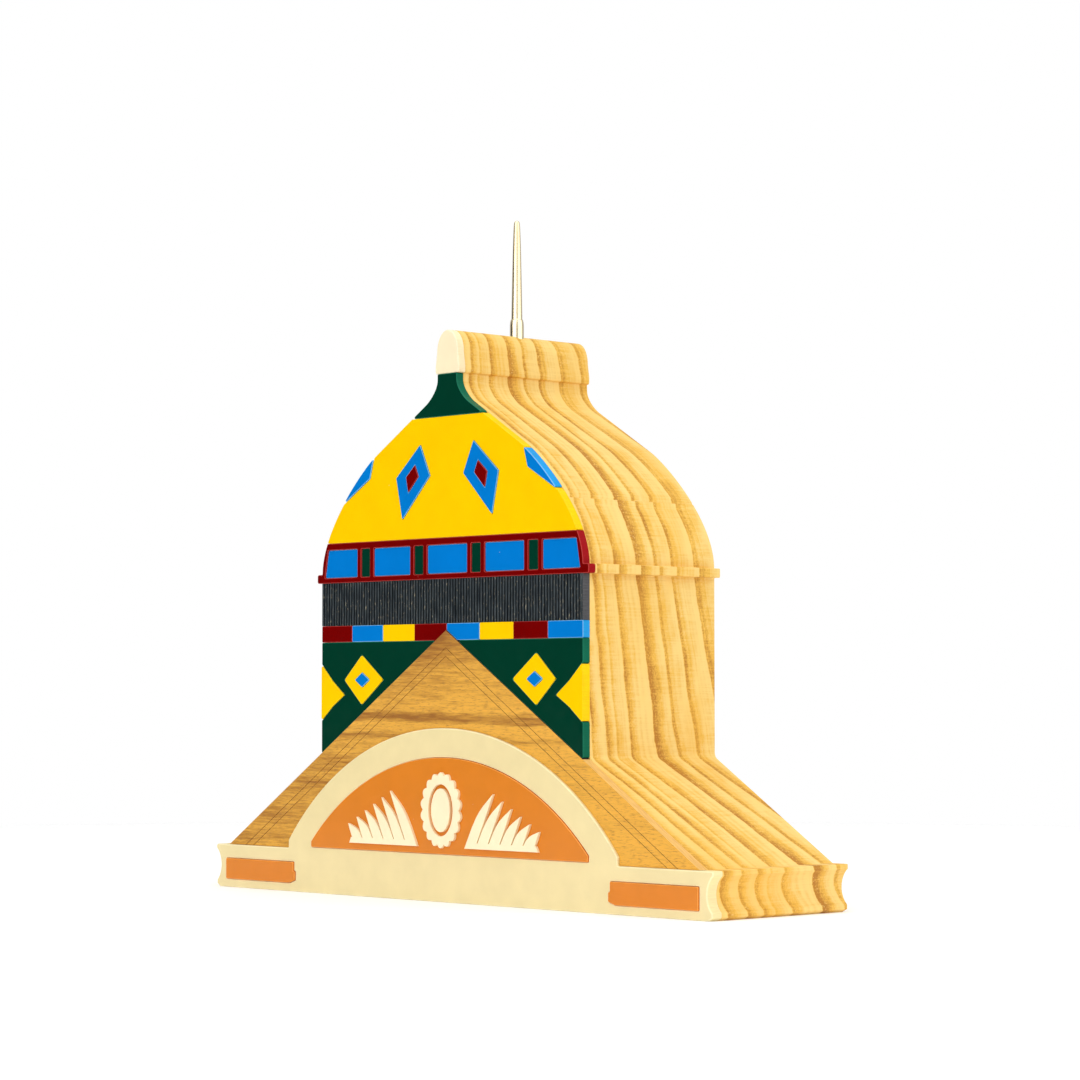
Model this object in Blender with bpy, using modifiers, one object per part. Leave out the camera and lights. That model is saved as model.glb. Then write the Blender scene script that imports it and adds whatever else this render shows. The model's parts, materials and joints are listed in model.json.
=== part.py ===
"""Facade keepsake: a milled pine block faced with cut acrylic plates and a pine gable, with a brass spire.

The front faces -Y, +X is to the right and +Z is up. The origin is on the ground, under the middle of
the whole piece. Every plate is cut to the block's own side line, so one change of size moves them all.
"""
import math

import bmesh
import bpy
from mathutils import Vector

MM = 0.001

# ---- block: two pine boards glued edge to edge and milled to one side line ----
PLINTH_WIDTH = 190.0 * MM
PLINTH_HEIGHT = 11.8 * MM
PLINTH_LIP = 1.2 * MM
PLINTH_LOWER_LIP = 1.9 * MM
PLINTH_LOWER_SET = 0.3 * MM
PLINTH_TOE_SET = 1.8 * MM
PLINTH_TOE_RISE = 0.7 * MM
PLINTH_HOLLOW = 2.0 * MM
PLINTH_LEDGE = 4.9 * MM
WALL_WIDTH = 100.8 * MM
GABLE_PITCH = math.radians(32.8)
EAVES_FILLET = 2.0 * MM
CORNICE_HEIGHT = 2.4 * MM
CORNICE_REACH = 2.0 * MM
DOME_SPRING_RISE = 12.3 * MM
DOME_SHOULDER_RUN = 7.0 * MM
DOME_ROOF_PITCH = math.radians(31.3)
DOME_SHOULDER_HALF = 27.5 * MM
DOME_SHOULDER_HEIGHT = 31.4 * MM
NECK_FLARE_HALF = 8.5 * MM
NECK_FLARE_RISE = 6.4 * MM
NECK_HALF = 3.75 * MM
NECK_STRAIGHT = 1.5 * MM
CAP_HEIGHT = 11.4 * MM
CAP_HALF = 4.6 * MM
CAP_BELLY_RISE = 1.8 * MM
CAP_CHEEK_HALF = 4.05 * MM
CAP_CHEEK_RISE = 5.5 * MM
CAP_CROWN_HALF = 2.2 * MM
CAP_CROWN_DROP = 2.5 * MM
BLOCK_DEPTH = 45.0 * MM
BOARD_JOINT_RISE = 16.8 * MM

# ---- plates on the front ----
GLUE_LINE = 0.3 * MM
KERF = 0.3 * MM
ACRYLIC = 2.0 * MM
INLAY_PROUD = 0.2 * MM
PANE_RECESS = 0.3 * MM
GABLE_THICKNESS = 2.3 * MM
CREAM_THICKNESS = 3.0 * MM
ORANGE_PROUD = 0.3 * MM

# ---- gable, arch and plinth panel ----
ARCH_INSET = 26.9 * MM
ARCH_DROP = 25.2 * MM
ARCH_SIDE = 2.1 * MM
ARCH_BAND = 7.6 * MM
LUNETTE_SIDE = 9.95 * MM
LUNETTE_RISE = 0.5 * MM
PLAQUE_END = 4.6 * MM
PLAQUE_LENGTH = 29.6 * MM
PLAQUE_BOTTOM = 2.3 * MM
PLAQUE_TOP_MARGIN = 3.8 * MM
PLAQUE_TONGUE = 0.6 * MM
PLAQUE_TONGUE_RISE = 0.75 * MM
PLAQUE_TONGUE_HEIGHT = 2.4 * MM
PLAQUE_CLIP = 2.4 * MM

# ---- bands and windows ----
PEAK_IN_TILES = 2.6 * MM
TILE_HEIGHT = 4.4 * MM
TILE_COUNT = 8
BAND_HEIGHT = 11.5 * MM
RIB_COUNT = 97
RIB_DEPTH = 0.45 * MM
RIB_SHARE = 0.45
FRAME_HEIGHT = 10.7 * MM
FRAME_HEAD = 1.8 * MM
FRAME_SILL = 1.4 * MM
FRAME_SIDE = 1.1 * MM
MULLION = 1.6 * MM
CENTRE_PANE_HALF = 7.7 * MM
PANE_WIDTH = 14.6 * MM
PILLAR_WIDTH = 3.55 * MM
NECK_PANEL_HEIGHT = 11.1 * MM

# ---- diamonds: how far out and how far above the cornice; the left-hand ones are their mirror images ----
DIAMOND_TOP = (10.3 * MM, 32.9 * MM)
DIAMOND_FOOT = (17.4 * MM, 13.5 * MM)
DIAMOND_MIDDLE = 24.6 * MM
DIAMOND_INNER_REACH = 6.9 * MM
DIAMOND_OUTER_REACH = 6.5 * MM
DIAMOND_HEART_SHARE = 0.37
EDGE_DIAMOND_TOP = 30.4 * MM
EDGE_DIAMOND_BOTTOM = 18.6 * MM
EDGE_DIAMOND_POINT = (30.5 * MM, 25.0 * MM)

# ---- lozenges: margins to the tiles above and the slope below, and shapes as shares of the half height ----
LOZENGE_TOP_MARGIN = 3.5 * MM
LOZENGE_SLOPE_MARGIN = 3.4 * MM
LOZENGE_INNER_SHARE = 1.32
LOZENGE_OUTER_SHARE = 1.08
LOZENGE_HEART_WIDE = 0.46
LOZENGE_HEART_TALL = 0.30
LOZENGE_HEART_SHIFT = 0.06
EDGE_LOZENGE_REACH = 9.6 * MM
EDGE_LOZENGE_TOP = 5.9 * MM
EDGE_LOZENGE_MIDDLE = 14.1 * MM
EDGE_LOZENGE_BOTTOM = 21.0 * MM
EDGE_LOZENGE_DISH = 0.5 * MM

# ---- ornament on the lunette ----
ORNAMENT_THICKNESS = 0.5 * MM
ORNAMENT_MARGIN = 1.8 * MM
WREATH_FOOT_MARGIN = 2.0 * MM
WREATH_TOP_MARGIN = 4.2 * MM
WREATH_HALF_WIDTH = 7.3 * MM
WREATH_BAND = 2.6 * MM
WREATH_LEAVES = 18
WREATH_SCALLOP = 0.45 * MM
MEDALLION_MARGIN = 1.1 * MM
SPRAY_START = 9.2 * MM
SPRAY_END_MARGIN = 18.45 * MM
SPRAY_TOP_MARGIN = 8.9 * MM
SPRAY_STEM = 1.5 * MM
SPRAY_LEAVES = 6
SPRAY_SHORTEST = 3.6 * MM
SPRAY_LEAN = 0.5
LEAF_TIP = 0.85
LEAF_FOOT = 0.9
LEAF_BULGE = 0.3
LEAF_LOW = 0.3
LEAF_HIGH = 0.7

# ---- brass spire ----
SPIRE_FIT = 0.3 * MM
SPIRE_SOCKET = 8.0 * MM
FERRULE_RADIUS = 1.85 * MM
FERRULE_HEIGHT = 2.5 * MM
FERRULE_SHOULDER = 2.2 * MM
SPIRE_BASE_RADIUS = 1.45 * MM
SPIRE_HEIGHT = 31.0 * MM
SPIRE_TIP_RADIUS = 0.75 * MM
SPIRE_SWELL = 0.6
SPIRE_STEPS = 8
TIP_STEPS = 4
TURNED_STEPS = 32

ARC_STEP = math.radians(1.5)
FILLET_STEP = math.radians(10.0)
OVAL_STEPS = 48
CURVE_STEPS = 12
CORNER_STEPS = 6
CLOSEST = 0.01 * MM
FLATTEST = 0.0005 * MM
BEZIER_REACH = 4 / 3

DULL, SATIN, GLOSSY = 0.65, 0.25, 0.2
FINISHES = {"pine": DULL, "gable_pine": DULL, "brass": SATIN}
COLOURS = {
    "pine": (0.90, 0.62, 0.22), "gable_pine": (0.72, 0.38, 0.07), "cream": (0.93, 0.77, 0.42),
    "pale_cream": (0.97, 0.84, 0.60), "orange": (0.83, 0.25, 0.02), "yellow": (1.00, 0.60, 0.00),
    "green": (0.00, 0.05, 0.02), "blue": (0.00, 0.20, 0.66), "red": (0.20, 0.00, 0.00),
    "slate": (0.02, 0.03, 0.04), "brass": (0.80, 0.62, 0.32),
}

# The whole depth, from the front of the orange plates to the back of the block, is centred on the origin.
ORANGE_THICKNESS = CREAM_THICKNESS + ORANGE_PROUD
TOTAL_DEPTH = BLOCK_DEPTH + GLUE_LINE + ORANGE_THICKNESS + ORNAMENT_THICKNESS + GLUE_LINE
BACK = TOTAL_DEPTH / 2
BLOCK_FRONT = BACK - BLOCK_DEPTH
BLOCK_MIDDLE = BACK - BLOCK_DEPTH / 2
PLATE_BACK = BLOCK_FRONT - GLUE_LINE

PLINTH_HALF = PLINTH_WIDTH / 2
WALL_HALF = WALL_WIDTH / 2
SLOPE_FOOT = PLINTH_HALF - PLINTH_LEDGE
GABLE_TOP = PLINTH_HEIGHT + SLOPE_FOOT * math.tan(GABLE_PITCH)
EAVES = GABLE_TOP - WALL_HALF * math.tan(GABLE_PITCH)
TILE_BOTTOM = GABLE_TOP - PEAK_IN_TILES
TILE_TOP = TILE_BOTTOM + TILE_HEIGHT
CORNICE_BOTTOM = TILE_TOP + BAND_HEIGHT
CORNICE_TOP = CORNICE_BOTTOM + CORNICE_HEIGHT
FRAME_TOP = CORNICE_BOTTOM + FRAME_HEIGHT
BOARD_JOINT = CORNICE_TOP + BOARD_JOINT_RISE
SHOULDER_TOP = CORNICE_TOP + DOME_SHOULDER_HEIGHT
FLARE_TOP = SHOULDER_TOP + (DOME_SHOULDER_HALF - NECK_FLARE_HALF) * math.tan(DOME_ROOF_PITCH)
CAP_BOTTOM = FLARE_TOP + NECK_FLARE_RISE + NECK_STRAIGHT
CAP_TOP = CAP_BOTTOM + CAP_HEIGHT
NECK_BOTTOM = CAP_BOTTOM - NECK_PANEL_HEIGHT

# The arch stands inside the gable, and its radius takes it from the top of its short sides to its crown.
ARCH_HALF = SLOPE_FOOT - ARCH_INSET
ARCH_TOP = GABLE_TOP - ARCH_DROP
ARCH_RISE = ARCH_TOP - PLINTH_HEIGHT - ARCH_SIDE
ARCH_RADIUS = (ARCH_HALF ** 2 + ARCH_RISE ** 2) / (2 * ARCH_RISE)
LUNETTE_FOOT = PLINTH_HEIGHT + LUNETTE_RISE
LUNETTE_TOP = ARCH_TOP - ARCH_BAND
LUNETTE_HALF = ARCH_HALF - LUNETTE_SIDE
WREATH_HALF_HEIGHT = (LUNETTE_TOP - LUNETTE_FOOT - WREATH_FOOT_MARGIN - WREATH_TOP_MARGIN) / 2
WREATH_CENTRE = LUNETTE_FOOT + WREATH_FOOT_MARGIN + WREATH_HALF_HEIGHT
ORNAMENT_FOOT = LUNETTE_FOOT + ORNAMENT_MARGIN
SPRAY_LENGTH = LUNETTE_HALF - SPRAY_START - SPRAY_END_MARGIN
SPRAY_TALLEST = LUNETTE_TOP - SPRAY_TOP_MARGIN - ORNAMENT_FOOT - SPRAY_STEM
PLAQUE_TOP = PLINTH_HEIGHT - PLAQUE_TOP_MARGIN

# A lozenge is as large as fits between the tiles, the slope and the wall's edge lozenge.
LOZENGE_HALF_HEIGHT = (
    WALL_HALF * math.tan(GABLE_PITCH) - PEAK_IN_TILES - LOZENGE_TOP_MARGIN - LOZENGE_SLOPE_MARGIN
    - EDGE_LOZENGE_REACH * math.tan(GABLE_PITCH)
) / (1 + (LOZENGE_INNER_SHARE + LOZENGE_OUTER_SHARE) * math.tan(GABLE_PITCH))
LOZENGE_CENTRE = (
    WALL_HALF - EDGE_LOZENGE_REACH - LOZENGE_OUTER_SHARE * LOZENGE_HALF_HEIGHT,
    TILE_BOTTOM - LOZENGE_TOP_MARGIN - LOZENGE_HALF_HEIGHT,
)


# ---------------------------------------------------------------- lines and outlines (x, z)
def arc(centre, radius, start, end, step=ARC_STEP):
    """Points along an arc, both ends included."""
    count = max(2, math.ceil(abs(end - start) / step))
    angles = [start + (end - start) * i / count for i in range(count + 1)]
    return [(centre[0] + radius * math.cos(a), centre[1] + radius * math.sin(a)) for a in angles]


def bezier(start, start_handle, end_handle, end, steps=CURVE_STEPS):
    """Points along one cubic curve, both ends included."""
    points = []
    for i in range(steps + 1):
        t = i / steps
        weights = ((1 - t) ** 3, 3 * (1 - t) ** 2 * t, 3 * (1 - t) * t * t, t ** 3)
        corners = (start, start_handle, end_handle, end)
        points.append(tuple(sum(w * c[k] for w, c in zip(weights, corners)) for k in range(2)))
    return points


def tidy(points):
    """The same line without repeated points."""
    kept = [points[0]]
    for point in points[1:]:
        if math.dist(point, kept[-1]) > CLOSEST:
            kept.append(point)
    if math.dist(kept[0], kept[-1]) < CLOSEST:
        kept.pop()
    return kept


def closed(points):
    """A closed outline without repeated points or points that lie on a straight run."""
    kept = tidy(points)
    here = 0
    while here < len(kept):
        before, after = kept[here - 1], kept[(here + 1) % len(kept)]
        off_line = 2 * abs(area([before, kept[here], after])) / math.dist(before, after)
        if off_line < FLATTEST:
            kept.pop(here)
        else:
            here += 1
    return kept


def plinth_end():
    """The moulded end of the plinth from the ground up: a lower lip, a hollow and an upper lip."""
    lower = PLINTH_HALF - PLINTH_LOWER_SET
    hollow_start = (lower, PLINTH_LOWER_LIP)
    hollow_end = (PLINTH_HALF, PLINTH_HEIGHT - PLINTH_LIP)
    deep = PLINTH_HALF - PLINTH_HOLLOW * BEZIER_REACH
    quarter = (hollow_end[1] - hollow_start[1]) / 4
    start_handle = (deep, hollow_start[1] + quarter)
    end_handle = (deep, hollow_end[1] - quarter)
    toe = [(PLINTH_HALF - PLINTH_TOE_SET, 0.0), (lower, PLINTH_TOE_RISE)]
    return toe + bezier(hollow_start, start_handle, end_handle, hollow_end) + [(PLINTH_HALF, PLINTH_HEIGHT)]


def eaves_corner():
    """The small inside radius the cutter leaves where the slope meets the wall."""
    turn = math.pi / 2 - GABLE_PITCH
    reach = EAVES_FILLET * math.tan(turn / 2)
    centre = (WALL_HALF + EAVES_FILLET, EAVES + reach)
    return arc(centre, EAVES_FILLET, math.pi + turn, math.pi, FILLET_STEP)


def dome_line():
    """From the cornice over the dome and up the neck to the underside of the cap."""
    spring = (WALL_HALF, CORNICE_TOP)
    shoulder = (DOME_SHOULDER_HALF, SHOULDER_TOP)
    roof = Vector((math.cos(DOME_ROOF_PITCH), -math.sin(DOME_ROOF_PITCH)))
    shoulder_handle = Vector(shoulder) + DOME_SHOULDER_RUN * roof
    spring_handle = (spring[0], spring[1] + DOME_SPRING_RISE)
    dome = bezier(spring, spring_handle, shoulder_handle, shoulder, 2 * CURVE_STEPS)
    flare = (NECK_FLARE_HALF, FLARE_TOP)
    throat = (NECK_HALF, flare[1] + NECK_FLARE_RISE)
    handle = (NECK_FLARE_HALF - NECK_HALF) / 2
    neck = bezier(flare, Vector(flare) - handle * roof, (throat[0], throat[1] - handle), throat)
    return dome + neck + [(NECK_HALF, CAP_BOTTOM)]


def cap_line():
    """The ridge cap: full near its bottom, narrowing to a round top."""
    foot = (NECK_HALF, CAP_BOTTOM)
    corner = (CAP_HALF, CAP_BOTTOM)
    belly = (CAP_HALF, CAP_BOTTOM + CAP_BELLY_RISE)
    cheek = (CAP_CHEEK_HALF, CAP_BOTTOM + CAP_CHEEK_RISE)
    crown_handle = (CAP_CROWN_HALF, CAP_TOP)
    crown = bezier(cheek, (CAP_CHEEK_HALF, CAP_TOP - CAP_CROWN_DROP), crown_handle, (0.0, CAP_TOP))
    return bezier(foot, corner, corner, belly, CORNER_STEPS) + crown


def side_line():
    """The block's right-hand side from the ground to the top of the cap."""
    cornice = [(WALL_HALF, CORNICE_BOTTOM), (WALL_HALF + CORNICE_REACH, CORNICE_BOTTOM),
               (WALL_HALF + CORNICE_REACH, CORNICE_TOP)]
    slope_foot = [(SLOPE_FOOT, PLINTH_HEIGHT)]
    return tidy(plinth_end() + slope_foot + eaves_corner() + cornice + dome_line() + cap_line())


def side_between(low, high):
    """The stretch of the side line from one height to another, with both ends cut exactly there."""
    line = side_line()
    part = [point for point in line[:1] if low <= point[1] <= high]
    for (x0, z0), (x1, z1) in zip(line, line[1:]):
        if z1 > z0:
            for z in (low, high):
                if z0 < z < z1:
                    part.append((x0 + (x1 - x0) * (z - z0) / (z1 - z0), z))
        if low <= z1 <= high:
            part.append((x1, z1))
    return tidy(sorted(part, key=lambda point: point[1]))


def half_width(height):
    """Half the block's width at one height."""
    line = side_line()
    reach = [x0 + (x1 - x0) * (height - z0) / (z1 - z0)
             for (x0, z0), (x1, z1) in zip(line, line[1:]) if z0 <= height <= z1 and z1 > z0]
    return min(reach)


def mirrored(points):
    """The same line on the left, run the other way."""
    return [(-x, z) for x, z in reversed(points)]


def both_sides(right):
    """A closed outline from its right half."""
    return closed(right + mirrored(right))


def area(points):
    """The area inside an outline, positive when it runs anticlockwise."""
    return sum(x0 * z1 - x1 * z0 for (x0, z0), (x1, z1) in zip(points, points[1:] + points[:1])) / 2


def meeting_point(first, second):
    """Where two edges' lines cross, each given as a point and a direction."""
    (start, along), (other, across) = first, second
    turn = along.cross(across)
    if abs(turn) < 1e-6:
        return other
    return start + along * ((other - start).cross(across) / turn)


def grown(points, distance):
    """The outline moved outward by a distance with sharp corners; a negative distance shrinks it."""
    points = [Vector(point) for point in closed(points)]
    if area(points) < 0:
        points.reverse()
    edges = []
    for here, after in zip(points, points[1:] + points[:1]):
        along = (after - here).normalized()
        edges.append((here + distance * Vector((along.y, -along.x)), along))
    while True:
        corners = [meeting_point(before, edge) for before, edge in zip(edges[-1:] + edges[:-1], edges)]
        lengths = [(after - here).dot(edge[1])
                   for here, after, edge in zip(corners, corners[1:] + corners[:1], edges)]
        if min(lengths) > 0:
            return [tuple(corner) for corner in corners]
        edges.pop(lengths.index(min(lengths)))


def cut_piece(points):
    """A piece as it comes off the cutter: half a kerf inside its drawn line."""
    return grown(points, -KERF / 2)


def opening(points):
    """The opening that takes a drawn piece: half a kerf outside its line."""
    return grown(points, KERF / 2)


# ---------------------------------------------------------------- solids
def new_collection(name):
    collection = bpy.data.collections.new(name)
    bpy.context.scene.collection.children.link(collection)
    return collection


def material(name):
    """One plain material per sub-part."""
    made = bpy.data.materials.new(name)
    made.use_nodes = True
    shader = made.node_tree.nodes["Principled BSDF"]
    shader.inputs["Base Color"].default_value = (*COLOURS[name], 1.0)
    shader.inputs["Roughness"].default_value = FINISHES.get(name, GLOSSY)
    shader.inputs["Metallic"].default_value = 1.0 if name == "brass" else 0.0
    return made


def outline_curve(name, outlines, thickness):
    """A flat sheet: the first outline is its edge and any others are openings in it."""
    curve = bpy.data.curves.new(name, "CURVE")
    curve.dimensions = "2D"
    curve.fill_mode = "BOTH"
    curve.extrude = thickness / 2
    curve.render_resolution_u = 0
    for outline in outlines:
        spline = curve.splines.new("POLY")
        spline.points.add(len(outline) - 1)
        for point, (x, z) in zip(spline.points, outline):
            point.co = (x, z, 0.0, 1.0)
        spline.use_cyclic_u = True
    return curve


def sheet(name, outlines, back, thickness, colour):
    """A flat piece standing upright, its back at one depth and its face towards the viewer."""
    piece = bpy.data.objects.new(name, outline_curve(name, outlines, thickness))
    piece.rotation_euler = (math.pi / 2, 0.0, 0.0)
    piece.location = (0.0, back - thickness / 2, 0.0)
    piece.data.materials.append(material(colour))
    PARTS.objects.link(piece)
    return piece


def solid_from(piece):
    """A flat piece turned into a welded mesh, so that it can be cut."""
    bpy.context.view_layer.update()
    evaluated = piece.evaluated_get(bpy.context.evaluated_depsgraph_get())
    mesh = bpy.data.meshes.new_from_object(evaluated)
    work = bmesh.new()
    work.from_mesh(mesh)
    bmesh.ops.remove_doubles(work, verts=work.verts, dist=FLATTEST)
    work.to_mesh(mesh)
    work.free()
    name = piece.name
    piece.name = name + "_outline"
    solid = bpy.data.objects.new(name, mesh)
    solid.matrix_world = piece.matrix_world
    PARTS.objects.link(solid)
    bpy.data.objects.remove(piece)
    return solid


def turned(name, profile, place, colour, collection):
    """A round piece: its side line runs down the outside and is spun about the upright axis."""
    mesh = bpy.data.meshes.new(name)
    edges = [(i, i + 1) for i in range(len(profile) - 1)]
    mesh.from_pydata([(r, 0.0, z) for r, z in profile], edges, [])
    mesh.materials.append(material(colour))
    piece = bpy.data.objects.new(name, mesh)
    piece.location = place
    collection.objects.link(piece)
    spin = piece.modifiers.new("spin", "SCREW")
    spin.steps = spin.render_steps = TURNED_STEPS
    spin.use_merge_vertices = True
    spin.merge_threshold = CLOSEST
    spin.use_smooth_shade = True
    return piece


# ---------------------------------------------------------------- the block
def make_lower_board():
    right = [(0.0, 0.0)] + side_between(0.0, BOARD_JOINT) + [(0.0, BOARD_JOINT)]
    return sheet("lower_board", [both_sides(right)], BACK, BLOCK_DEPTH, "pine")


def make_upper_board():
    """The upper board carries the cap, and the socket drilled down into it for the spire."""
    foot = BOARD_JOINT + GLUE_LINE
    outline = both_sides([(0.0, foot)] + side_between(foot, CAP_TOP))
    board = solid_from(sheet("upper_board", [outline], BACK, BLOCK_DEPTH, "pine"))
    radius = FERRULE_RADIUS + SPIRE_FIT
    bottom = CAP_TOP - SPIRE_SOCKET - SPIRE_FIT
    top = CAP_TOP + SPIRE_SOCKET
    profile = [(0.0, top), (radius, top), (radius, bottom), (0.0, bottom)]
    cutter = turned("spire_socket", profile, (0.0, BLOCK_MIDDLE, 0.0), "brass", CUTTERS)
    cutter.hide_render = True
    cutter.display_type = "WIRE"
    drill = board.modifiers.new("spire_socket", "BOOLEAN")
    drill.operation = "DIFFERENCE"
    drill.object = cutter
    return board


# ---------------------------------------------------------------- gable, arch and plinth panel
def arch_outline(half, top, radius, foot):
    """An arch with short upright sides: its right half from the foot to the crown."""
    spring = math.acos(half / radius)
    return [(half, foot)] + arc((0.0, top - radius), radius, spring, math.pi / 2)


def make_gable_plate():
    """The wooden gable fits over the arch: out along its two slopes and back along the arch."""
    slopes = [(SLOPE_FOOT, PLINTH_HEIGHT), (0.0, GABLE_TOP), (-SLOPE_FOOT, PLINTH_HEIGHT)]
    right_arch = arch_outline(ARCH_HALF, ARCH_TOP, ARCH_RADIUS, PLINTH_HEIGHT)
    arch = right_arch + mirrored(right_arch)
    return sheet("gable_plate", [cut_piece(slopes + arch[::-1])], PLATE_BACK, GABLE_THICKNESS, "gable_pine")


def plaque_outline(side):
    """One plaque: square outside, with a short tongue and a clipped corner at its inner end."""
    outer = PLINTH_HALF - PLAQUE_END
    inner = outer - PLAQUE_LENGTH
    bottom, top = PLAQUE_BOTTOM, PLAQUE_TOP
    tongue_bottom = bottom + PLAQUE_TONGUE_RISE
    tongue_top = tongue_bottom + PLAQUE_TONGUE_HEIGHT
    points = [(outer, bottom), (outer, top), (inner, top), (inner, tongue_top),
              (inner - PLAQUE_TONGUE, tongue_top), (inner - PLAQUE_TONGUE, tongue_bottom),
              (inner + PLAQUE_CLIP - PLAQUE_TONGUE, bottom)]
    return [(side * x, z) for x, z in points]


def lunette_outline():
    return both_sides(arch_outline(LUNETTE_HALF, LUNETTE_TOP, ARCH_RADIUS - ARCH_BAND, LUNETTE_FOOT))


def make_arch_panel():
    """The cream plinth front and the arch above it are one plate."""
    plinth = [(0.0, 0.0)] + side_between(0.0, PLINTH_HEIGHT)
    arch_side = arch_outline(ARCH_HALF, ARCH_TOP, ARCH_RADIUS, PLINTH_HEIGHT)
    edge = cut_piece(both_sides(plinth + arch_side))
    openings = [opening(lunette_outline()), opening(plaque_outline(1)), opening(plaque_outline(-1))]
    return sheet("arch_panel", [edge] + openings, PLATE_BACK, CREAM_THICKNESS, "cream")


def make_orange_plates():
    sheet("lunette", [cut_piece(lunette_outline())], PLATE_BACK, ORANGE_THICKNESS, "orange")
    for name, side in (("plaque_left", -1), ("plaque_right", 1)):
        sheet(name, [cut_piece(plaque_outline(side))], PLATE_BACK, ORANGE_THICKNESS, "orange")


# ---------------------------------------------------------------- ornament
def oval(half_w, half_h, scallop=0.0, count=0):
    """An oval about the wreath's centre, its edge pushed out into leaf tips."""
    steps = max(OVAL_STEPS, count * CORNER_STEPS)
    points = []
    for i in range(steps):
        turn = 2 * math.pi * i / steps
        push = scallop * (2 * abs(math.sin(turn * count / 2)) - 1) if count else 0.0
        points.append(((half_w + push) * math.cos(turn), WREATH_CENTRE + (half_h + push) * math.sin(turn)))
    return points


def make_wreath():
    outer = oval(WREATH_HALF_WIDTH, WREATH_HALF_HEIGHT, WREATH_SCALLOP, WREATH_LEAVES)
    inner = oval(WREATH_HALF_WIDTH - WREATH_BAND, WREATH_HALF_HEIGHT - WREATH_BAND)
    reach = WREATH_BAND + MEDALLION_MARGIN
    disc = oval(WREATH_HALF_WIDTH - reach, WREATH_HALF_HEIGHT - reach)
    on_lunette = PLATE_BACK - ORANGE_THICKNESS - GLUE_LINE
    sheet("wreath", [outer, inner], on_lunette, ORNAMENT_THICKNESS, "pale_cream")
    sheet("medallion", [disc], on_lunette, ORNAMENT_THICKNESS, "pale_cream")


def spray_outline(side):
    """A stem along the foot with leaves rising from it, tall by the wreath and short at the end.

    The leaves are drawn upright, side by side, and then all lean outward together.
    """
    pitch = SPRAY_LENGTH / SPRAY_LEAVES
    top = ORNAMENT_FOOT + SPRAY_STEM
    end = SPRAY_START + SPRAY_LENGTH
    points = [(SPRAY_START, ORNAMENT_FOOT), (SPRAY_START, top)]
    for leaf in range(SPRAY_LEAVES):
        height = SPRAY_TALLEST + (SPRAY_SHORTEST - SPRAY_TALLEST) * leaf / (SPRAY_LEAVES - 1)
        low, high = top + LEAF_LOW * height, top + LEAF_HIGH * height
        root = SPRAY_START + pitch * leaf
        tip = (root + LEAF_TIP * pitch, top + height)
        foot = root + LEAF_FOOT * pitch
        points += bezier((root, top), (root, high), (root + LEAF_BULGE * pitch, high), tip, CORNER_STEPS)
        points += bezier(tip, (foot, high), (foot, low), (foot, top), CORNER_STEPS)
    points += [(end, top), (end + SPRAY_STEM, ORNAMENT_FOOT)]
    return tidy([(side * (x + SPRAY_LEAN * (z - ORNAMENT_FOOT)), z) for x, z in points])


def make_sprays():
    on_lunette = PLATE_BACK - ORANGE_THICKNESS - GLUE_LINE
    for name, side in (("spray_left", -1), ("spray_right", 1)):
        sheet(name, [spray_outline(side)], on_lunette, ORNAMENT_THICKNESS, "pale_cream")


# ---------------------------------------------------------------- walls
def gable_height(x):
    return GABLE_TOP - abs(x) * math.tan(GABLE_PITCH)


def four_points(side, centre, inner, outer, tall):
    """A lozenge on one side of the wall, from how far it reaches each way from its centre."""
    x, z = centre
    return [(side * px, pz) for px, pz in ((x - inner, z), (x, z - tall), (x + outer, z), (x, z + tall))]


def lozenge_outline(side):
    """A lozenge whose inner half is the wider one."""
    tall = LOZENGE_HALF_HEIGHT
    return four_points(side, LOZENGE_CENTRE, LOZENGE_INNER_SHARE * tall, LOZENGE_OUTER_SHARE * tall, tall)


def lozenge_heart_outline(side):
    """The small lozenge let into the middle of the large one."""
    tall = LOZENGE_HALF_HEIGHT
    centre = (LOZENGE_CENTRE[0] - LOZENGE_HEART_SHIFT * tall, LOZENGE_CENTRE[1])
    wide = LOZENGE_HEART_WIDE * tall
    return four_points(side, centre, wide, wide, LOZENGE_HEART_TALL * tall)


def edge_lozenge_line():
    """The hollow-sided point that the wall's edge lozenge turns inward, from its top to its bottom."""
    point = (WALL_HALF - EDGE_LOZENGE_REACH, TILE_BOTTOM - EDGE_LOZENGE_MIDDLE)
    top = (WALL_HALF, TILE_BOTTOM - EDGE_LOZENGE_TOP)
    bottom = (WALL_HALF, TILE_BOTTOM - EDGE_LOZENGE_BOTTOM)
    across = (top[0] + point[0]) / 2
    above = (across, (top[1] + point[1]) / 2 - EDGE_LOZENGE_DISH)
    below = (across, (bottom[1] + point[1]) / 2 + EDGE_LOZENGE_DISH)
    return [top, above, point, below, bottom]


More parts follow.
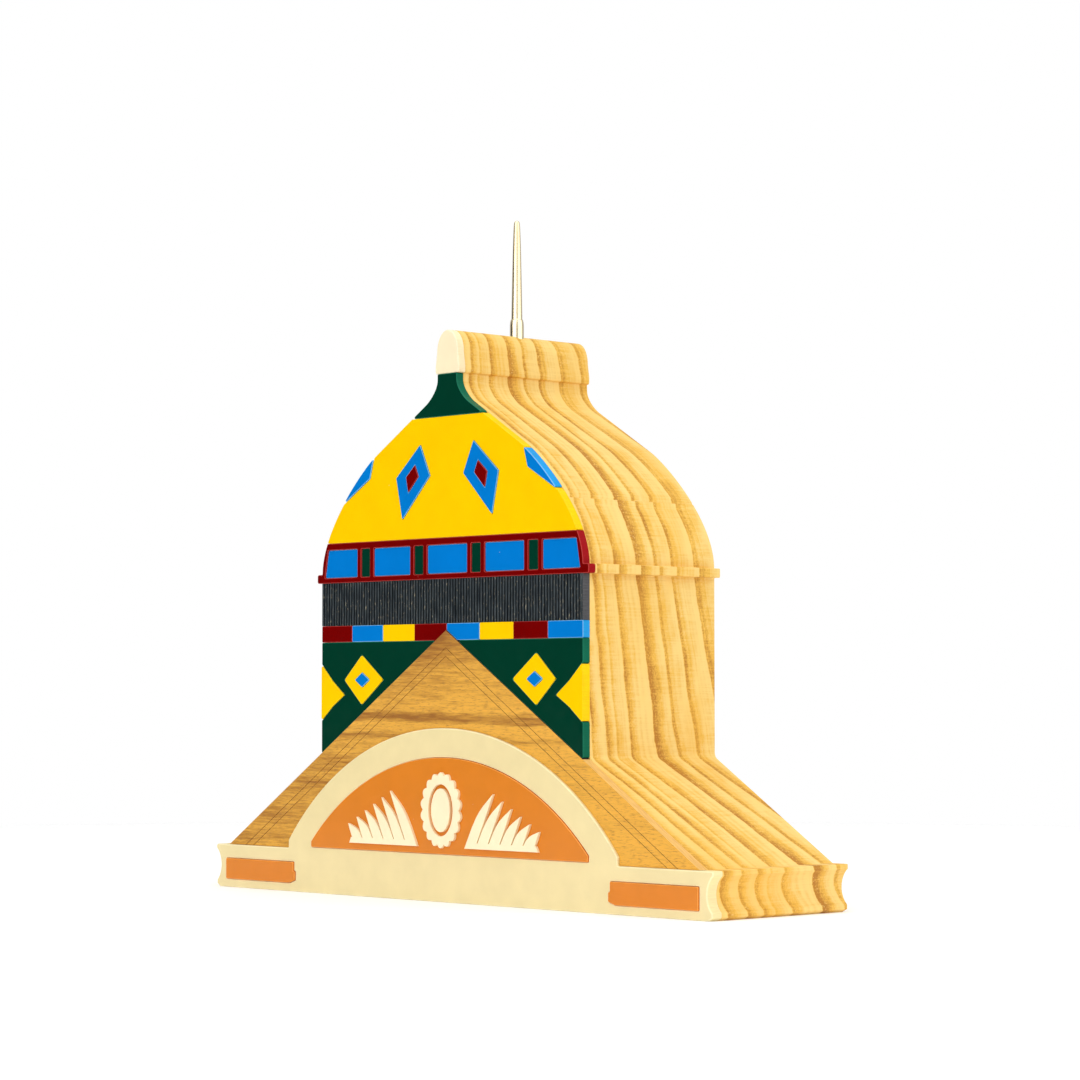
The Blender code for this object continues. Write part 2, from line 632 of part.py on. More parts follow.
def make_walls():
    """Each green wall plate takes one whole lozenge with its heart, and half of one at its edge."""
    for name, side in (("left", -1), ("right", 1)):
        edge = edge_lozenge_line()
        foot = (WALL_HALF, gable_height(WALL_HALF))
        peak = ((GABLE_TOP - TILE_BOTTOM) / math.tan(GABLE_PITCH), TILE_BOTTOM)
        field = [foot] + edge[::-1] + [(WALL_HALF, TILE_BOTTOM), peak]
        field = [(side * x, z) for x, z in field]
        lozenge = lozenge_outline(side)
        heart = lozenge_heart_outline(side)
        proud = ACRYLIC + INLAY_PROUD
        sheet(f"wall_field_{name}", [cut_piece(field), opening(lozenge)], PLATE_BACK, ACRYLIC, "green")
        sheet(f"wall_lozenge_{name}", [cut_piece(lozenge), opening(heart)], PLATE_BACK, proud, "yellow")
        sheet(f"wall_heart_{name}", [cut_piece(heart)], PLATE_BACK, proud + INLAY_PROUD, "blue")
        half = [(side * x, z) for x, z in edge]
        sheet(f"wall_edge_lozenge_{name}", [cut_piece(half)], PLATE_BACK, proud, "yellow")


def make_tiles():
    """A row of equal tiles; the gable's peak takes a corner off the middle two."""
    pitch = WALL_WIDTH / TILE_COUNT
    reach = (GABLE_TOP - TILE_BOTTOM) / math.tan(GABLE_PITCH)
    colours = ("red", "blue", "yellow")
    for i in range(TILE_COUNT):
        left = -WALL_HALF + i * pitch
        right = left + pitch
        corners = [(left, TILE_BOTTOM), (right, TILE_BOTTOM), (right, TILE_TOP), (left, TILE_TOP)]
        if i == TILE_COUNT // 2 - 1:
            corners[1:2] = [(-reach, TILE_BOTTOM), (0.0, GABLE_TOP)]
        if i == TILE_COUNT // 2:
            corners[0:1] = [(0.0, GABLE_TOP), (reach, TILE_BOTTOM)]
        sheet(f"tile_{i + 1}", [cut_piece(corners)], PLATE_BACK, ACRYLIC, colours[i % len(colours)])


def make_ribbed_band():
    """The slate band stands between the tiles and the windows, cut with upright grooves."""
    height = CORNICE_BOTTOM - TILE_TOP - KERF
    half = WALL_HALF - KERF / 2
    pitch = 2 * half / RIB_COUNT
    groove = pitch * RIB_SHARE
    front = []
    for i in range(RIB_COUNT):
        start = -half + i * pitch
        rib_end = start + pitch - groove
        front += [(start, 0.0), (rib_end, 0.0)]
        if i < RIB_COUNT - 1:
            front += [(rib_end, RIB_DEPTH), (rib_end + groove, RIB_DEPTH)]
    front[-1] = (half, 0.0)
    plan = front + [(half, ACRYLIC), (-half, ACRYLIC)]
    band = bpy.data.objects.new("ribbed_band", outline_curve("ribbed_band", [plan], height))
    band.location = (0.0, PLATE_BACK - ACRYLIC, TILE_TOP + KERF / 2 + height / 2)
    band.data.materials.append(material("slate"))
    PARTS.objects.link(band)


# ---------------------------------------------------------------- windows
def window_outlines():
    """Every pane and pillar by name, counted from the left: five panes with a pillar between each two."""
    sill = CORNICE_BOTTOM + FRAME_SILL
    head = FRAME_TOP - FRAME_HEAD
    jamb_low = half_width(CORNICE_TOP + KERF) - FRAME_SIDE
    jamb_high = half_width(head) - FRAME_SIDE

    def upright(side, inner, low, high):
        return [(side * x, z) for x, z in ((inner, sill), (low, sill), (high, head), (inner, head))]

    pillar = CENTRE_PANE_HALF + MULLION
    pane = pillar + PILLAR_WIDTH + MULLION
    end_pillar = pane + PANE_WIDTH + MULLION
    end_pane = end_pillar + PILLAR_WIDTH + MULLION
    centre = upright(1, -CENTRE_PANE_HALF, CENTRE_PANE_HALF, CENTRE_PANE_HALF)
    outlines = {"window_pane_3": centre}
    for side, panes, pillars in ((-1, (2, 1), (2, 1)), (1, (4, 5), (3, 4))):
        outer = pane + PANE_WIDTH
        outlines[f"window_pane_{panes[0]}"] = upright(side, pane, outer, outer)
        outlines[f"window_pane_{panes[1]}"] = upright(side, end_pane, jamb_low, jamb_high)
        for number, inner in zip(pillars, (pillar, end_pillar)):
            outer = inner + PILLAR_WIDTH
            outlines[f"window_pillar_{number}"] = upright(side, inner, outer, outer)
    return outlines


def make_windows():
    """The red frame carries the cornice, and its openings hold the panes and pillars."""
    outlines = window_outlines()
    right = [(0.0, CORNICE_BOTTOM)] + side_between(CORNICE_BOTTOM, FRAME_TOP)
    right = [point for point in right if point != (WALL_HALF, CORNICE_BOTTOM)]
    frame = cut_piece(both_sides(right + [(0.0, FRAME_TOP)]))
    openings = [opening(outline) for outline in outlines.values()]
    sheet("window_frame", [frame] + openings, PLATE_BACK, ACRYLIC, "red")
    for name, outline in outlines.items():
        colour = "blue" if "pane" in name else "green"
        sheet(name, [cut_piece(outline)], PLATE_BACK, ACRYLIC - PANE_RECESS, colour)


# ---------------------------------------------------------------- dome, neck and cap
def above_cornice(point):
    """A place on the dome plate, given how far out it is and how far above the cornice."""
    return Vector((point[0], CORNICE_TOP + point[1]))


def diamond_outline(side, share=1.0):
    """A diamond with a level cross line, its foot further out than its top; a smaller share is its heart."""
    top, foot = above_cornice(DIAMOND_TOP), above_cornice(DIAMOND_FOOT)
    drop = (DIAMOND_TOP[1] - DIAMOND_MIDDLE) / (DIAMOND_TOP[1] - DIAMOND_FOOT[1])
    centre = top + (foot - top) * drop
    inner = centre - Vector((DIAMOND_INNER_REACH, 0.0))
    outer = centre + Vector((DIAMOND_OUTER_REACH, 0.0))
    corners = [centre + share * (corner - centre) for corner in (foot, outer, top, inner)]
    return [(side * corner.x, corner.y) for corner in corners]


def make_dome():
    """The yellow dome plate, its four diamonds and the two hearts."""
    low, high = CORNICE_TOP + EDGE_DIAMOND_BOTTOM, CORNICE_TOP + EDGE_DIAMOND_TOP
    point = tuple(above_cornice(EDGE_DIAMOND_POINT))
    outside = side_between(FRAME_TOP, low) + [point] + side_between(high, NECK_BOTTOM)
    outline = both_sides([(0.0, FRAME_TOP)] + outside + [(0.0, NECK_BOTTOM)])
    openings = [opening(diamond_outline(side)) for side in (-1, 1)]
    sheet("dome_panel", [cut_piece(outline)] + openings, PLATE_BACK, ACRYLIC, "yellow")
    proud = ACRYLIC + INLAY_PROUD
    for name, side in (("left", -1), ("right", 1)):
        diamond = diamond_outline(side)
        heart = diamond_outline(side, DIAMOND_HEART_SHARE)
        sheet(f"dome_diamond_{name}", [cut_piece(diamond), opening(heart)], PLATE_BACK, proud, "blue")
        sheet(f"dome_heart_{name}", [cut_piece(heart)], PLATE_BACK, proud + INLAY_PROUD, "red")
        edge = [(side * x, z) for x, z in [point] + side_between(low, high)[::-1]]
        sheet(f"dome_edge_diamond_{name}", [cut_piece(edge)], PLATE_BACK, proud, "blue")


def make_neck_and_cap():
    neck = side_between(NECK_BOTTOM, CAP_BOTTOM)
    sheet("neck_panel", [cut_piece(both_sides([(0.0, NECK_BOTTOM)] + neck + [(0.0, CAP_BOTTOM)]))],
          PLATE_BACK, ACRYLIC, "green")
    cap = [(0.0, CAP_BOTTOM)] + cap_line()
    sheet("ridge_cap", [cut_piece(both_sides(cap))], PLATE_BACK, ACRYLIC, "pale_cream")


# ---------------------------------------------------------------- spire
def quarter_oval(start, end, steps):
    """A quarter of an oval that leaves its start level and reaches its end upright, without its start."""
    turns = [math.pi / 2 * i / steps for i in range(1, steps + 1)]
    (r0, z0), (r1, z1) = start, end
    return [(r0 + (r1 - r0) * math.sin(turn), z1 + (z0 - z1) * math.cos(turn)) for turn in turns]


def make_spire():
    """A turned brass pin: a slender point, a swelling shaft, a ferrule and a plain shank in the block."""
    top = CAP_TOP + SPIRE_HEIGHT
    tip = top - SPIRE_TIP_RADIUS
    ferrule_top = CAP_TOP + FERRULE_HEIGHT
    shaft_foot = ferrule_top + FERRULE_SHOULDER
    profile = [(0.0, top)] + quarter_oval((0.0, top), (SPIRE_TIP_RADIUS, tip), TIP_STEPS)
    for i in range(1, SPIRE_STEPS + 1):
        down = i / SPIRE_STEPS
        radius = SPIRE_TIP_RADIUS + (SPIRE_BASE_RADIUS - SPIRE_TIP_RADIUS) * down ** SPIRE_SWELL
        profile.append((radius, tip - (tip - shaft_foot) * down))
    profile += quarter_oval((SPIRE_BASE_RADIUS, shaft_foot), (FERRULE_RADIUS, ferrule_top), TIP_STEPS)
    bottom = CAP_TOP - SPIRE_SOCKET
    profile += [(FERRULE_RADIUS, bottom), (0.0, bottom)]
    return turned("brass_spire", profile, (0.0, BLOCK_MIDDLE, 0.0), "brass", PARTS)


def build():
    make_lower_board()
    make_upper_board()
    make_gable_plate()
    make_arch_panel()
    make_orange_plates()
    make_wreath()
    make_sprays()
    make_walls()
    make_tiles()
    make_ribbed_band()
    make_windows()
    make_dome()
    make_neck_and_cap()
    make_spire()


for old in list(bpy.data.objects):
    bpy.data.objects.remove(old)
PARTS = new_collection("facade_keepsake")
CUTTERS = new_collection("cutters")
build()
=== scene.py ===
"""Facade keepsake: the finished look of a pine building front with inlaid acrylic and a brass spire."""

import json
import math

import bpy
from bpy.props import FloatProperty, FloatVectorProperty, IntProperty, PointerProperty
from bpy.types import Operator, Panel, PropertyGroup
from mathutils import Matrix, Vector
from mathutils.geometry import tessellate_polygon


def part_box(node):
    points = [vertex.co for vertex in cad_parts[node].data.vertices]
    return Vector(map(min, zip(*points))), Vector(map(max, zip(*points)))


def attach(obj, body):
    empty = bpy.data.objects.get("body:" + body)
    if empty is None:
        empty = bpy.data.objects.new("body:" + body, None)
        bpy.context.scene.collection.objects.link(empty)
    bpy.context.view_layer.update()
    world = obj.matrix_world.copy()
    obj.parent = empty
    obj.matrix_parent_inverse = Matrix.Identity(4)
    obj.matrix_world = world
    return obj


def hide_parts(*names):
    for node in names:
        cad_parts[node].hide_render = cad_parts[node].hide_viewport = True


bl_info = {
    "name": "Facade keepsake",
    "version": (1, 0, 0),
    "blender": (4, 5, 0),
    "location": "View3D > Sidebar > Keepsake",
    "description": "Makes the boards, acrylic plates, gable, spire and studio of a facade keepsake",
    "category": "Object",
}

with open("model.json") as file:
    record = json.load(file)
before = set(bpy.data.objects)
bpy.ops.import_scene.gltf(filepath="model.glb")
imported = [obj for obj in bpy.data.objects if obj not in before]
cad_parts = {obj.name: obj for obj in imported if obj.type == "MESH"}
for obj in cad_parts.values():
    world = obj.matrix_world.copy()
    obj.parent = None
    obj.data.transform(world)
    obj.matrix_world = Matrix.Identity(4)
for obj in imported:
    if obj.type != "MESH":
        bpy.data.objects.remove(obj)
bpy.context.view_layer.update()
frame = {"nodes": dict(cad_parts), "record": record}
SLOTS = {part["node"]: part["material_slot"] for part in frame["record"]["subparts"]}

MM = 0.001
DEPTH_AXIS = 1
HEIGHT_AXIS = 2
SAME_PLANE = 0.002 * MM
ROUND_TO = 6
STRAIGHT = 0.002 * MM
CORNER_TURN = math.radians(25)
CORNER_STEP = math.radians(15)
LONGEST_REACH = 0.45
EDGE_STEPS = 3
SHARP_ANGLE = math.radians(40)
MITRE_LIMIT = 3.0
TOUCHING = 0.01 * MM

# ---- levels and sizes taken from the frame ----
BLOCK_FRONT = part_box("lower_board")[0].y
BLOCK_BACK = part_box("lower_board")[1].y
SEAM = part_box("lower_board")[1].z
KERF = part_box("dome_panel")[0].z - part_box("window_frame")[1].z
LUNETTE_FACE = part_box("lunette")[0].y
CORNICE_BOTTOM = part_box("window_frame")[0].z
WALL_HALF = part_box("ribbed_band")[1].x + KERF / 2
PLINTH_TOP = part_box("gable_plate")[0].z - KERF / 2
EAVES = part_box("wall_field_right")[0].z
GABLE_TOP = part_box("gable_plate")[1].z
GABLE_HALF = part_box("gable_plate")[1].x
GABLE_SLOPE = (GABLE_TOP - PLINTH_TOP) / GABLE_HALF
GABLE_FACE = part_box("gable_plate")[0].y
CAP_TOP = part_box("upper_board")[1].z
SPIRE_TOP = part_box("brass_spire")[1].z
SPIRE_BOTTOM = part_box("brass_spire")[0].z
SPIRE_CENTRE = (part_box("brass_spire")[0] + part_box("brass_spire")[1]) / 2
FERRULE_RADIUS = (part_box("brass_spire")[1].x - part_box("brass_spire")[0].x) / 2

# ---- camera and studio; an azimuth of 0 is in front and 90 is to the right ----
CAMERA_LENS = 102.66
CAMERA_SENSOR = 36.0
CAMERA_PLACE = (0.5929, -0.5525, 0.0529)
CAMERA_TILT = math.radians(2.90)
CAMERA_TURN = math.radians(46.474)
CAMERA_NEAR = 0.01
SKY_LIGHT = 0.5
CARD_AZIMUTH = math.radians(-48.0)
CARD_LIGHT = 0.03
CARD_FADE_FROM = 0.86
CARD_FADE_TO = 0.97
TABLE_RADIUS = 0.5
TABLE_THICKNESS = 0.01
TABLE_STEPS = 128
TABLE_GLOW = 0.12
PAPER = 40.0


def tint(red, green, blue):
    """A colour chosen on a 0 to 255 paint chart, as linear light."""
    parts = (red / 255, green / 255, blue / 255)
    return tuple(p / 12.92 if p <= 0.04045 else ((p + 0.055) / 1.055) ** 2.4 for p in parts)


def brighter(shade, factor):
    """A colour made lighter or darker by a factor, and kept within white."""
    return tuple(min(1.0, part * factor) for part in shade)


# ---------------------------------------------------------------- sizes and colours a user may change
def length(name, description, default):
    """A length property shown in the scene's units."""
    return FloatProperty(
        name=name, description=description, default=default, min=0.0, unit="LENGTH", precision=5)


def colour(name, description, default):
    """A colour property."""
    return FloatVectorProperty(
        name=name, description=description, default=default, size=3, min=0.0, max=1.0, subtype="COLOR")


class KeepsakeSizes(PropertyGroup):
    """Sizes of the fine detail; every overall size comes from the frame."""

    plate_edge: length("Plate edge", "Radius on the front edge of an acrylic plate", 0.16 * MM)
    plate_corner: length("Plate corner", "Radius left by the cutter at a plate's corners", 0.22 * MM)
    inlay_edge: length("Inlay edge", "Radius on the front edge of a small inlay", 0.13 * MM)
    inlay_corner: length("Inlay corner", "Radius at a small inlay's corners", 0.16 * MM)
    lozenge_corner: length("Lozenge corner", "Radius at the tips of the yellow lozenges", 0.5 * MM)
    pane_corner: length("Pane corner", "Radius at the corners of a pane or pillar", 0.4 * MM)
    ornament_edge: length("Ornament edge", "Radius on the front edge of the raised ornament", 0.06 * MM)
    cream_edge: length("Cream edge", "Radius on the front edge of the cream plates", 0.3 * MM)
    cream_corner: length("Cream corner", "Radius at the corners of the plinth front and arch", 0.39 * MM)
    cap_corner: length("Cap corner", "Radius at the corners of the ridge cap's end plate", 0.44 * MM)
    rib_corner: length("Rib corner", "Radius on the ribs of the slate band", 0.05 * MM)
    board_edge: length("Board edge", "Radius on the boards' front and back edges", 0.25 * MM)
    board_corner: length("Board corner", "Radius on the corners of the boards' side line", 0.3 * MM)
    gable_edge: length("Gable edge", "Radius on the gable's front edge", 0.08 * MM)
    plate_gap: length("Plate gap", "Gap left between neighbouring plates", 0.04 * MM)
    line_upper: length("Outer line", "Depth of the outer engraved line's point below the peak", 4.35 * MM)
    line_lower: length("Inner line", "Depth of the inner engraved line's point below the peak", 6.55 * MM)
    line_width: length("Line width", "Width of an engraved line", 0.15 * MM)
    line_depth: length("Line depth", "Depth of an engraved line", 0.2 * MM)
    ferrule_height: length("Ferrule height", "Straight height of the spire's ferrule", 2.5 * MM)
    ferrule_shoulder: length("Ferrule shoulder", "Height of the curve up to the shaft", 2.2 * MM)
    shaft_radius: length("Shaft radius", "Radius at the foot of the spire's shaft", 1.45 * MM)
    tip_radius: length("Tip radius", "Radius at the top of the spire's shaft", 0.75 * MM)
    shaft_swell: FloatProperty(
        name="Shaft swell", description="Below 1 the shaft is fuller near its tip", default=0.6, min=0.1)
    spire_steps: IntProperty(name="Spire steps", description="Steps round the spire", default=96, min=24)


class KeepsakeColours(PropertyGroup):
    """Face colours of the acrylic plates, and the tones of the wood and the brass."""

    cream: colour("Cream", "Plinth front and arch", tint(230, 213, 161))
    pale_cream: colour("Pale cream", "Ridge cap and raised ornament", tint(251, 232, 194))
    orange: colour("Orange", "Lunette and plaques", tint(214, 126, 38))
    yellow: colour("Yellow", "Dome, lozenges and tiles", tint(250, 197, 0))
    green: colour("Green", "Walls, neck and pillars", tint(0, 53, 37))
    blue: colour("Blue", "Panes, diamonds and tiles", tint(0, 118, 201))
    red: colour("Red", "Window frame, hearts and tiles", tint(110, 0, 0))
    slate: colour("Slate", "Ribbed band", tint(20, 30, 40))
    earlywood: colour("Earlywood", "Pale wood between the rings", tint(238, 202, 121))
    goldenwood: colour("Golden wood", "Wood behind each dark ring", tint(231, 180, 72))
    latewood: colour("Latewood", "Dark side of each ring", tint(180, 119, 34))
    resin_gold: colour("Resin gold", "Warmer patches in the wood", tint(234, 176, 56))
    gable_wood: colour("Gable wood", "Flat-sawn wood of the gable", tint(219, 161, 57))
    gable_band: colour("Gable bands", "Darker bands across the gable", tint(150, 94, 24))
    brass: colour("Brass", "Polished brass of the spire", tint(255, 238, 200))


# For each colour: the front edge's colour, which is mostly lighter than the face and acts as a painted
# highlight along the cut edge, and the milled side's colour.
RIM_HIGHLIGHTS_AND_SIDES = {
    "cream": (tint(238, 222, 174), tint(236, 214, 160)),
    "pale_cream": (tint(250, 230, 192), tint(248, 224, 180)),
    "orange": (tint(232, 150, 70), tint(212, 110, 30)),
    "yellow": (tint(250, 192, 0), tint(252, 198, 0)),
    "green": (tint(10, 104, 78), tint(0, 96, 70)),
    "blue": (tint(120, 176, 226), tint(30, 148, 216)),
    "red": (tint(168, 50, 46), tint(150, 2, 12)),
}


# ---------------------------------------------------------------- outlines taken from the frame
def flat_loops(node, axis=DEPTH_AXIS, side=-1):
    """The closed outlines of a node's flat end, material on the left: the outside and any openings."""
    mesh = frame["nodes"][node].data
    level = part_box(node)[0 if side < 0 else 1][axis]
    across = [i for i in range(3) if i != axis]
    edges = set()
    for face in mesh.polygons:
        corners = [mesh.vertices[i].co for i in face.vertices]
        if max(abs(corner[axis] - level) for corner in corners) > SAME_PLANE:
            continue
        points = [tuple(round(corner[i], ROUND_TO) for i in across) for corner in corners]
        for edge in zip(points, points[1:] + points[:1]):
            if edge[::-1] in edges:
                edges.remove(edge[::-1])
            else:
                edges.add(edge)
    follows = dict(edges)
    if len(follows) != len(edges):
        raise RuntimeError(f"{node}: an outline touches itself")
    loops = []
    while follows:
        start = min(follows)
        loop = [start]
        point = follows.pop(start)
        while point != start:
            loop.append(point)
            point = follows.pop(point)
        loops.append(straightened(loop))
    return sorted(loops, key=lambda loop: -abs(signed_area(loop)))


def signed_area(loop):
    """The loop's area, positive when it runs anticlockwise."""
    return sum(a[0] * b[1] - b[0] * a[1] for a, b in zip(loop, loop[1:] + loop[:1])) / 2


def straightened(loop):
    """The loop without points that lie on a straight run."""
    kept = list(loop)
    here = 0
    while here < len(kept):
        before, after = kept[here - 1], kept[(here + 1) % len(kept)]
        off_line = 2 * abs(signed_area([before, kept[here], after])) / math.dist(before, after)
        if off_line < STRAIGHT:
            kept.pop(here)
        else:
            here += 1
    return kept


def neighbours(loop):
    """Each point with the directions of the edge that comes to it and the edge that leaves it."""
    points = [Vector(point) for point in loop]
    for before, point, after in zip(points[-1:] + points[:-1], points, points[1:] + points[:1]):
        yield before, point, after


def rounded(loop, radius, plain=None):
    """The loop with each sharp corner turned into a small arc, apart from corners at one plain height."""
    result = []
    for before, point, after in neighbours(loop):
        arrive, leave = point - before, after - point
        turn = math.atan2(arrive.cross(leave), arrive.dot(leave))
        if abs(turn) < CORNER_TURN or radius == 0 or (plain and abs(point.y - plain) < KERF):
            result.append(tuple(point))
            continue
        room = LONGEST_REACH * min(arrive.length, leave.length)
        reach = min(radius * math.tan(abs(turn) / 2), room)
        arc_radius = reach / math.tan(abs(turn) / 2)
        start = point - arrive.normalized() * reach
        towards = arrive.normalized().orthogonal() * math.copysign(1, turn)
        centre = start + towards * arc_radius
        spoke = start - centre
        steps = max(2, round(abs(turn) / CORNER_STEP))
        for i in range(steps + 1):
            angle = turn * i / steps
            cosine, sine = math.cos(angle), math.sin(angle)
            result.append((centre.x + spoke.x * cosine - spoke.y * sine,
                           centre.y + spoke.x * sine + spoke.y * cosine))
    return result


def moved(loop, distance):
    """The same points moved off the material by a distance, or into it when the distance is negative."""
    result = []
    for before, point, after in neighbours(loop):
        arrive, leave = (point - before).normalized(), (after - point).normalized()
        out = -(arrive.orthogonal() + leave.orthogonal())
        stretch = min(2 / out.length_squared, MITRE_LIMIT / out.length)
        result.append(tuple(point + out * stretch * distance))
    return result


# ---------------------------------------------------------------- solids
def standing(u, v, depth):
    """A plate's outline lies upright, and its depth runs to the back."""
    return (u, depth, v)


def lying(u, v, depth):
    """A plan outline lies level, and its depth runs downward."""
    return (u, v, -depth)


def new_piece(name, vertices, faces, finishes=(), looks=()):
    """A new object from its corners and faces; looks gives the place of each face's finish in the list."""
    mesh = bpy.data.meshes.new(name)
    mesh.from_pydata(vertices, [], faces)
    if looks:
        mesh.polygons.foreach_set("material_index", looks)
    for finish in finishes:
        mesh.materials.append(finish)
    piece = bpy.data.objects.new(name, mesh)
    bpy.context.scene.collection.objects.link(piece)
    return piece


def edge_levels(level, radius):
    """Depths and insets from a flat end round its edge; a negative radius rounds towards lesser depths."""
    if radius == 0:
        return [(level, 0.0)]
    turns = [math.pi / 2 * i / EDGE_STEPS for i in range(EDGE_STEPS + 1)]
    return [(level + radius * (1 - math.cos(turn)), abs(radius) * (math.sin(turn) - 1)) for turn in turns]


def slab(name, loops, front, back, finishes, front_round=0.0, back_round=0.0, place=standing):
    """A closed solid from its outlines, with rounded front and back edges and three finishes."""
    levels = edge_levels(front, front_round)
    front_rings = len(levels)
    levels += edge_levels(back, -back_round)[::-1]
    rings = [[moved(loop, inset) if inset else loop for loop in loops] for depth, inset in levels]
    vertices = []
    for (depth, inset), ring in zip(levels, rings):
        vertices += [place(u, v, depth) for loop in ring for u, v in loop]
    count = sum(len(loop) for loop in loops)
    faces, looks = [], []
    for level in range(len(levels) - 1):
        role = 1 if level < front_rings - 1 else 2
        first = 0
        for loop in loops:
            for i in range(len(loop)):
                a = level * count + first + i
                b = level * count + first + (i + 1) % len(loop)
                faces.append((a, a + count, b + count, b))
                looks.append(role)
            first += len(loop)
    ends = ((0, rings[0], 1, 0), ((len(levels) - 1) * count, rings[-1], -1, 2))
    for offset, ring, facing, role in ends:
        flat = [point for loop in ring for point in loop]
        for triangle in tessellate_polygon([[Vector((u, v, 0.0)) for u, v in loop] for loop in ring]):
            if signed_area([flat[i] for i in triangle]) * facing < 0:
                triangle = triangle[::-1]
            faces.append(tuple(offset + i for i in triangle))
            looks.append(role)
    return new_piece(name, vertices, faces, finishes, looks)


def cut(piece, cutter):
    """Takes a cutter's shape out of a piece; its faces say which of the piece's finishes the cut has."""
    tool = piece.modifiers.new("cut", "BOOLEAN")
    tool.operation = "DIFFERENCE"
    tool.solver = "EXACT"
    tool.object = cutter
    tool.material_mode = "INDEX"
    bpy.context.view_layer.update()
    whole = piece.evaluated_get(bpy.context.evaluated_depsgraph_get())
    mesh = bpy.data.meshes.new_from_object(whole)
    piece.modifiers.clear()
    piece.data = mesh
    bpy.data.objects.remove(cutter)
    return piece


def finish_piece(piece, *nodes):
    """Smooth shading with crisp edges, and the ties between the piece and the frame."""
    piece.data.polygons.foreach_set("use_smooth", [True] * len(piece.data.polygons))
    piece.data.set_sharp_from_angle(angle=SHARP_ANGLE)
    normals = piece.modifiers.new("normals", "WEIGHTED_NORMAL")
    normals.keep_sharp = True
    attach(piece, "root")
    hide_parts(*nodes)
    return piece


# ---------------------------------------------------------------- finishes
class Finish:
    """The nodes of one material, with a short call for each kind of node used here."""

    def __init__(self, name):
        self.material = bpy.data.materials.new(name)
        self.material.use_nodes = True
        self.tree = self.material.node_tree
        self.shader = self.tree.nodes["Principled BSDF"]
        self.where = self.add("ShaderNodeTexCoord").outputs["Object"]

    def add(self, kind, **settings):
        """A new node with its settings."""
        node = self.tree.nodes.new(kind)
        for key, value in settings.items():
            setattr(node, key, value)
        return node

    def feed(self, socket, value):
        """Gives a socket a value: another node's output, a colour or a number."""
        if isinstance(value, bpy.types.NodeSocket):
            self.tree.links.new(value, socket)
        elif isinstance(value, tuple) and len(socket.default_value) == 4:
            socket.default_value = (*value[:3], 1.0)
        else:
            socket.default_value = value

    def set(self, socket, value):
        """Feeds one of the shader's own sockets."""
        self.feed(self.shader.inputs[socket], value)

    def math(self, operation, *values):
        """One step of arithmetic."""
        node = self.add("ShaderNodeMath", operation=operation)
        for socket, value in zip(node.inputs, values):
            self.feed(socket, value)
        return node.outputs[0]

    def axes(self):
        """The place on the piece as separate X, Y and Z."""
        parts = self.add("ShaderNodeSeparateXYZ")
        self.feed(parts.inputs[0], self.where)
        return parts.outputs

    def stretched(self, x, y, z):
        """The place on the piece with each axis counted in its own number of cells per metre."""
        node = self.add("ShaderNodeVectorMath", operation="MULTIPLY")
        self.feed(node.inputs[0], self.where)
        node.inputs[1].default_value = (x, y, z)
        return node.outputs[0]

    def noise(self, cells, detail=2.0, rough=0.5):
        """Soft noise from 0 to 1; cells are per metre, one number or one for each axis."""
        each = cells if isinstance(cells, tuple) else (cells, cells, cells)
        node = self.add("ShaderNodeTexNoise")
        self.feed(node.inputs["Vector"], self.stretched(*each))
        node.inputs["Scale"].default_value = 1.0
        node.inputs["Detail"].default_value = detail
        node.inputs["Roughness"].default_value = rough
        return node.outputs["Fac"]

    def ripple(self, value, cells, detail=2.0):
        """Soft noise along one value only."""
        node = self.add("ShaderNodeTexNoise", noise_dimensions="1D")
        self.feed(node.inputs["W"], value)
        node.inputs["Scale"].default_value = cells
        node.inputs["Detail"].default_value = detail
        return node.outputs["Fac"]

    def specks(self, cells, size, share):
        """Round specks, one at most in each cell, in a share of the cells."""
        node = self.add("ShaderNodeTexVoronoi")
        self.feed(node.inputs["Vector"], self.stretched(cells, cells, cells))
        node.inputs["Scale"].default_value = 1.0
        near = self.math("LESS_THAN", node.outputs["Distance"], size)
        parts = self.add("ShaderNodeSeparateColor")
        self.feed(parts.inputs[0], node.outputs["Color"])
        chosen = self.math("LESS_THAN", parts.outputs[0], share)
        return self.math("MULTIPLY", near, chosen)

    def ramp(self, value, stops):
        """A value read off a list of stops, each a place from 0 to 1 and a grey or a colour."""
        node = self.add("ShaderNodeValToRGB")
        self.feed(node.inputs[0], value)
        bands = node.color_ramp.elements
        while len(bands) < len(stops):
            bands.new(1.0)
        for band, (place, shade) in zip(bands, stops):
            band.position = place
            band.color = (*shade, 1.0) if isinstance(shade, tuple) else (shade, shade, shade, 1.0)
        return node.outputs["Color"]

    def span(self, value, low, high, to_low=0.0, to_high=1.0):
        """A value stretched from one range to another and kept inside it."""
        node = self.add("ShaderNodeMapRange")
        for socket, part in zip(node.inputs, (value, low, high, to_low, to_high)):
            self.feed(socket, part)
        return node.outputs["Result"]

    def mix(self, amount, first, second):
        """The second colour laid over the first by an amount from 0 to 1."""
        node = self.add("ShaderNodeMix", data_type="RGBA")
        self.feed(node.inputs["Factor"], amount)
        self.feed(node.inputs[6], first)
        self.feed(node.inputs[7], second)
        return node.outputs[2]

    def bump(self, height, depth, strength=1.0):
        """Raises the surface by a height from 0 to 1 times a depth in metres."""
        node = self.add("ShaderNodeBump")
        node.inputs["Strength"].default_value = strength
        node.inputs["Distance"].default_value = depth
        self.feed(node.inputs["Height"], height)
        self.feed(self.shader.inputs["Normal"], node.outputs[0])


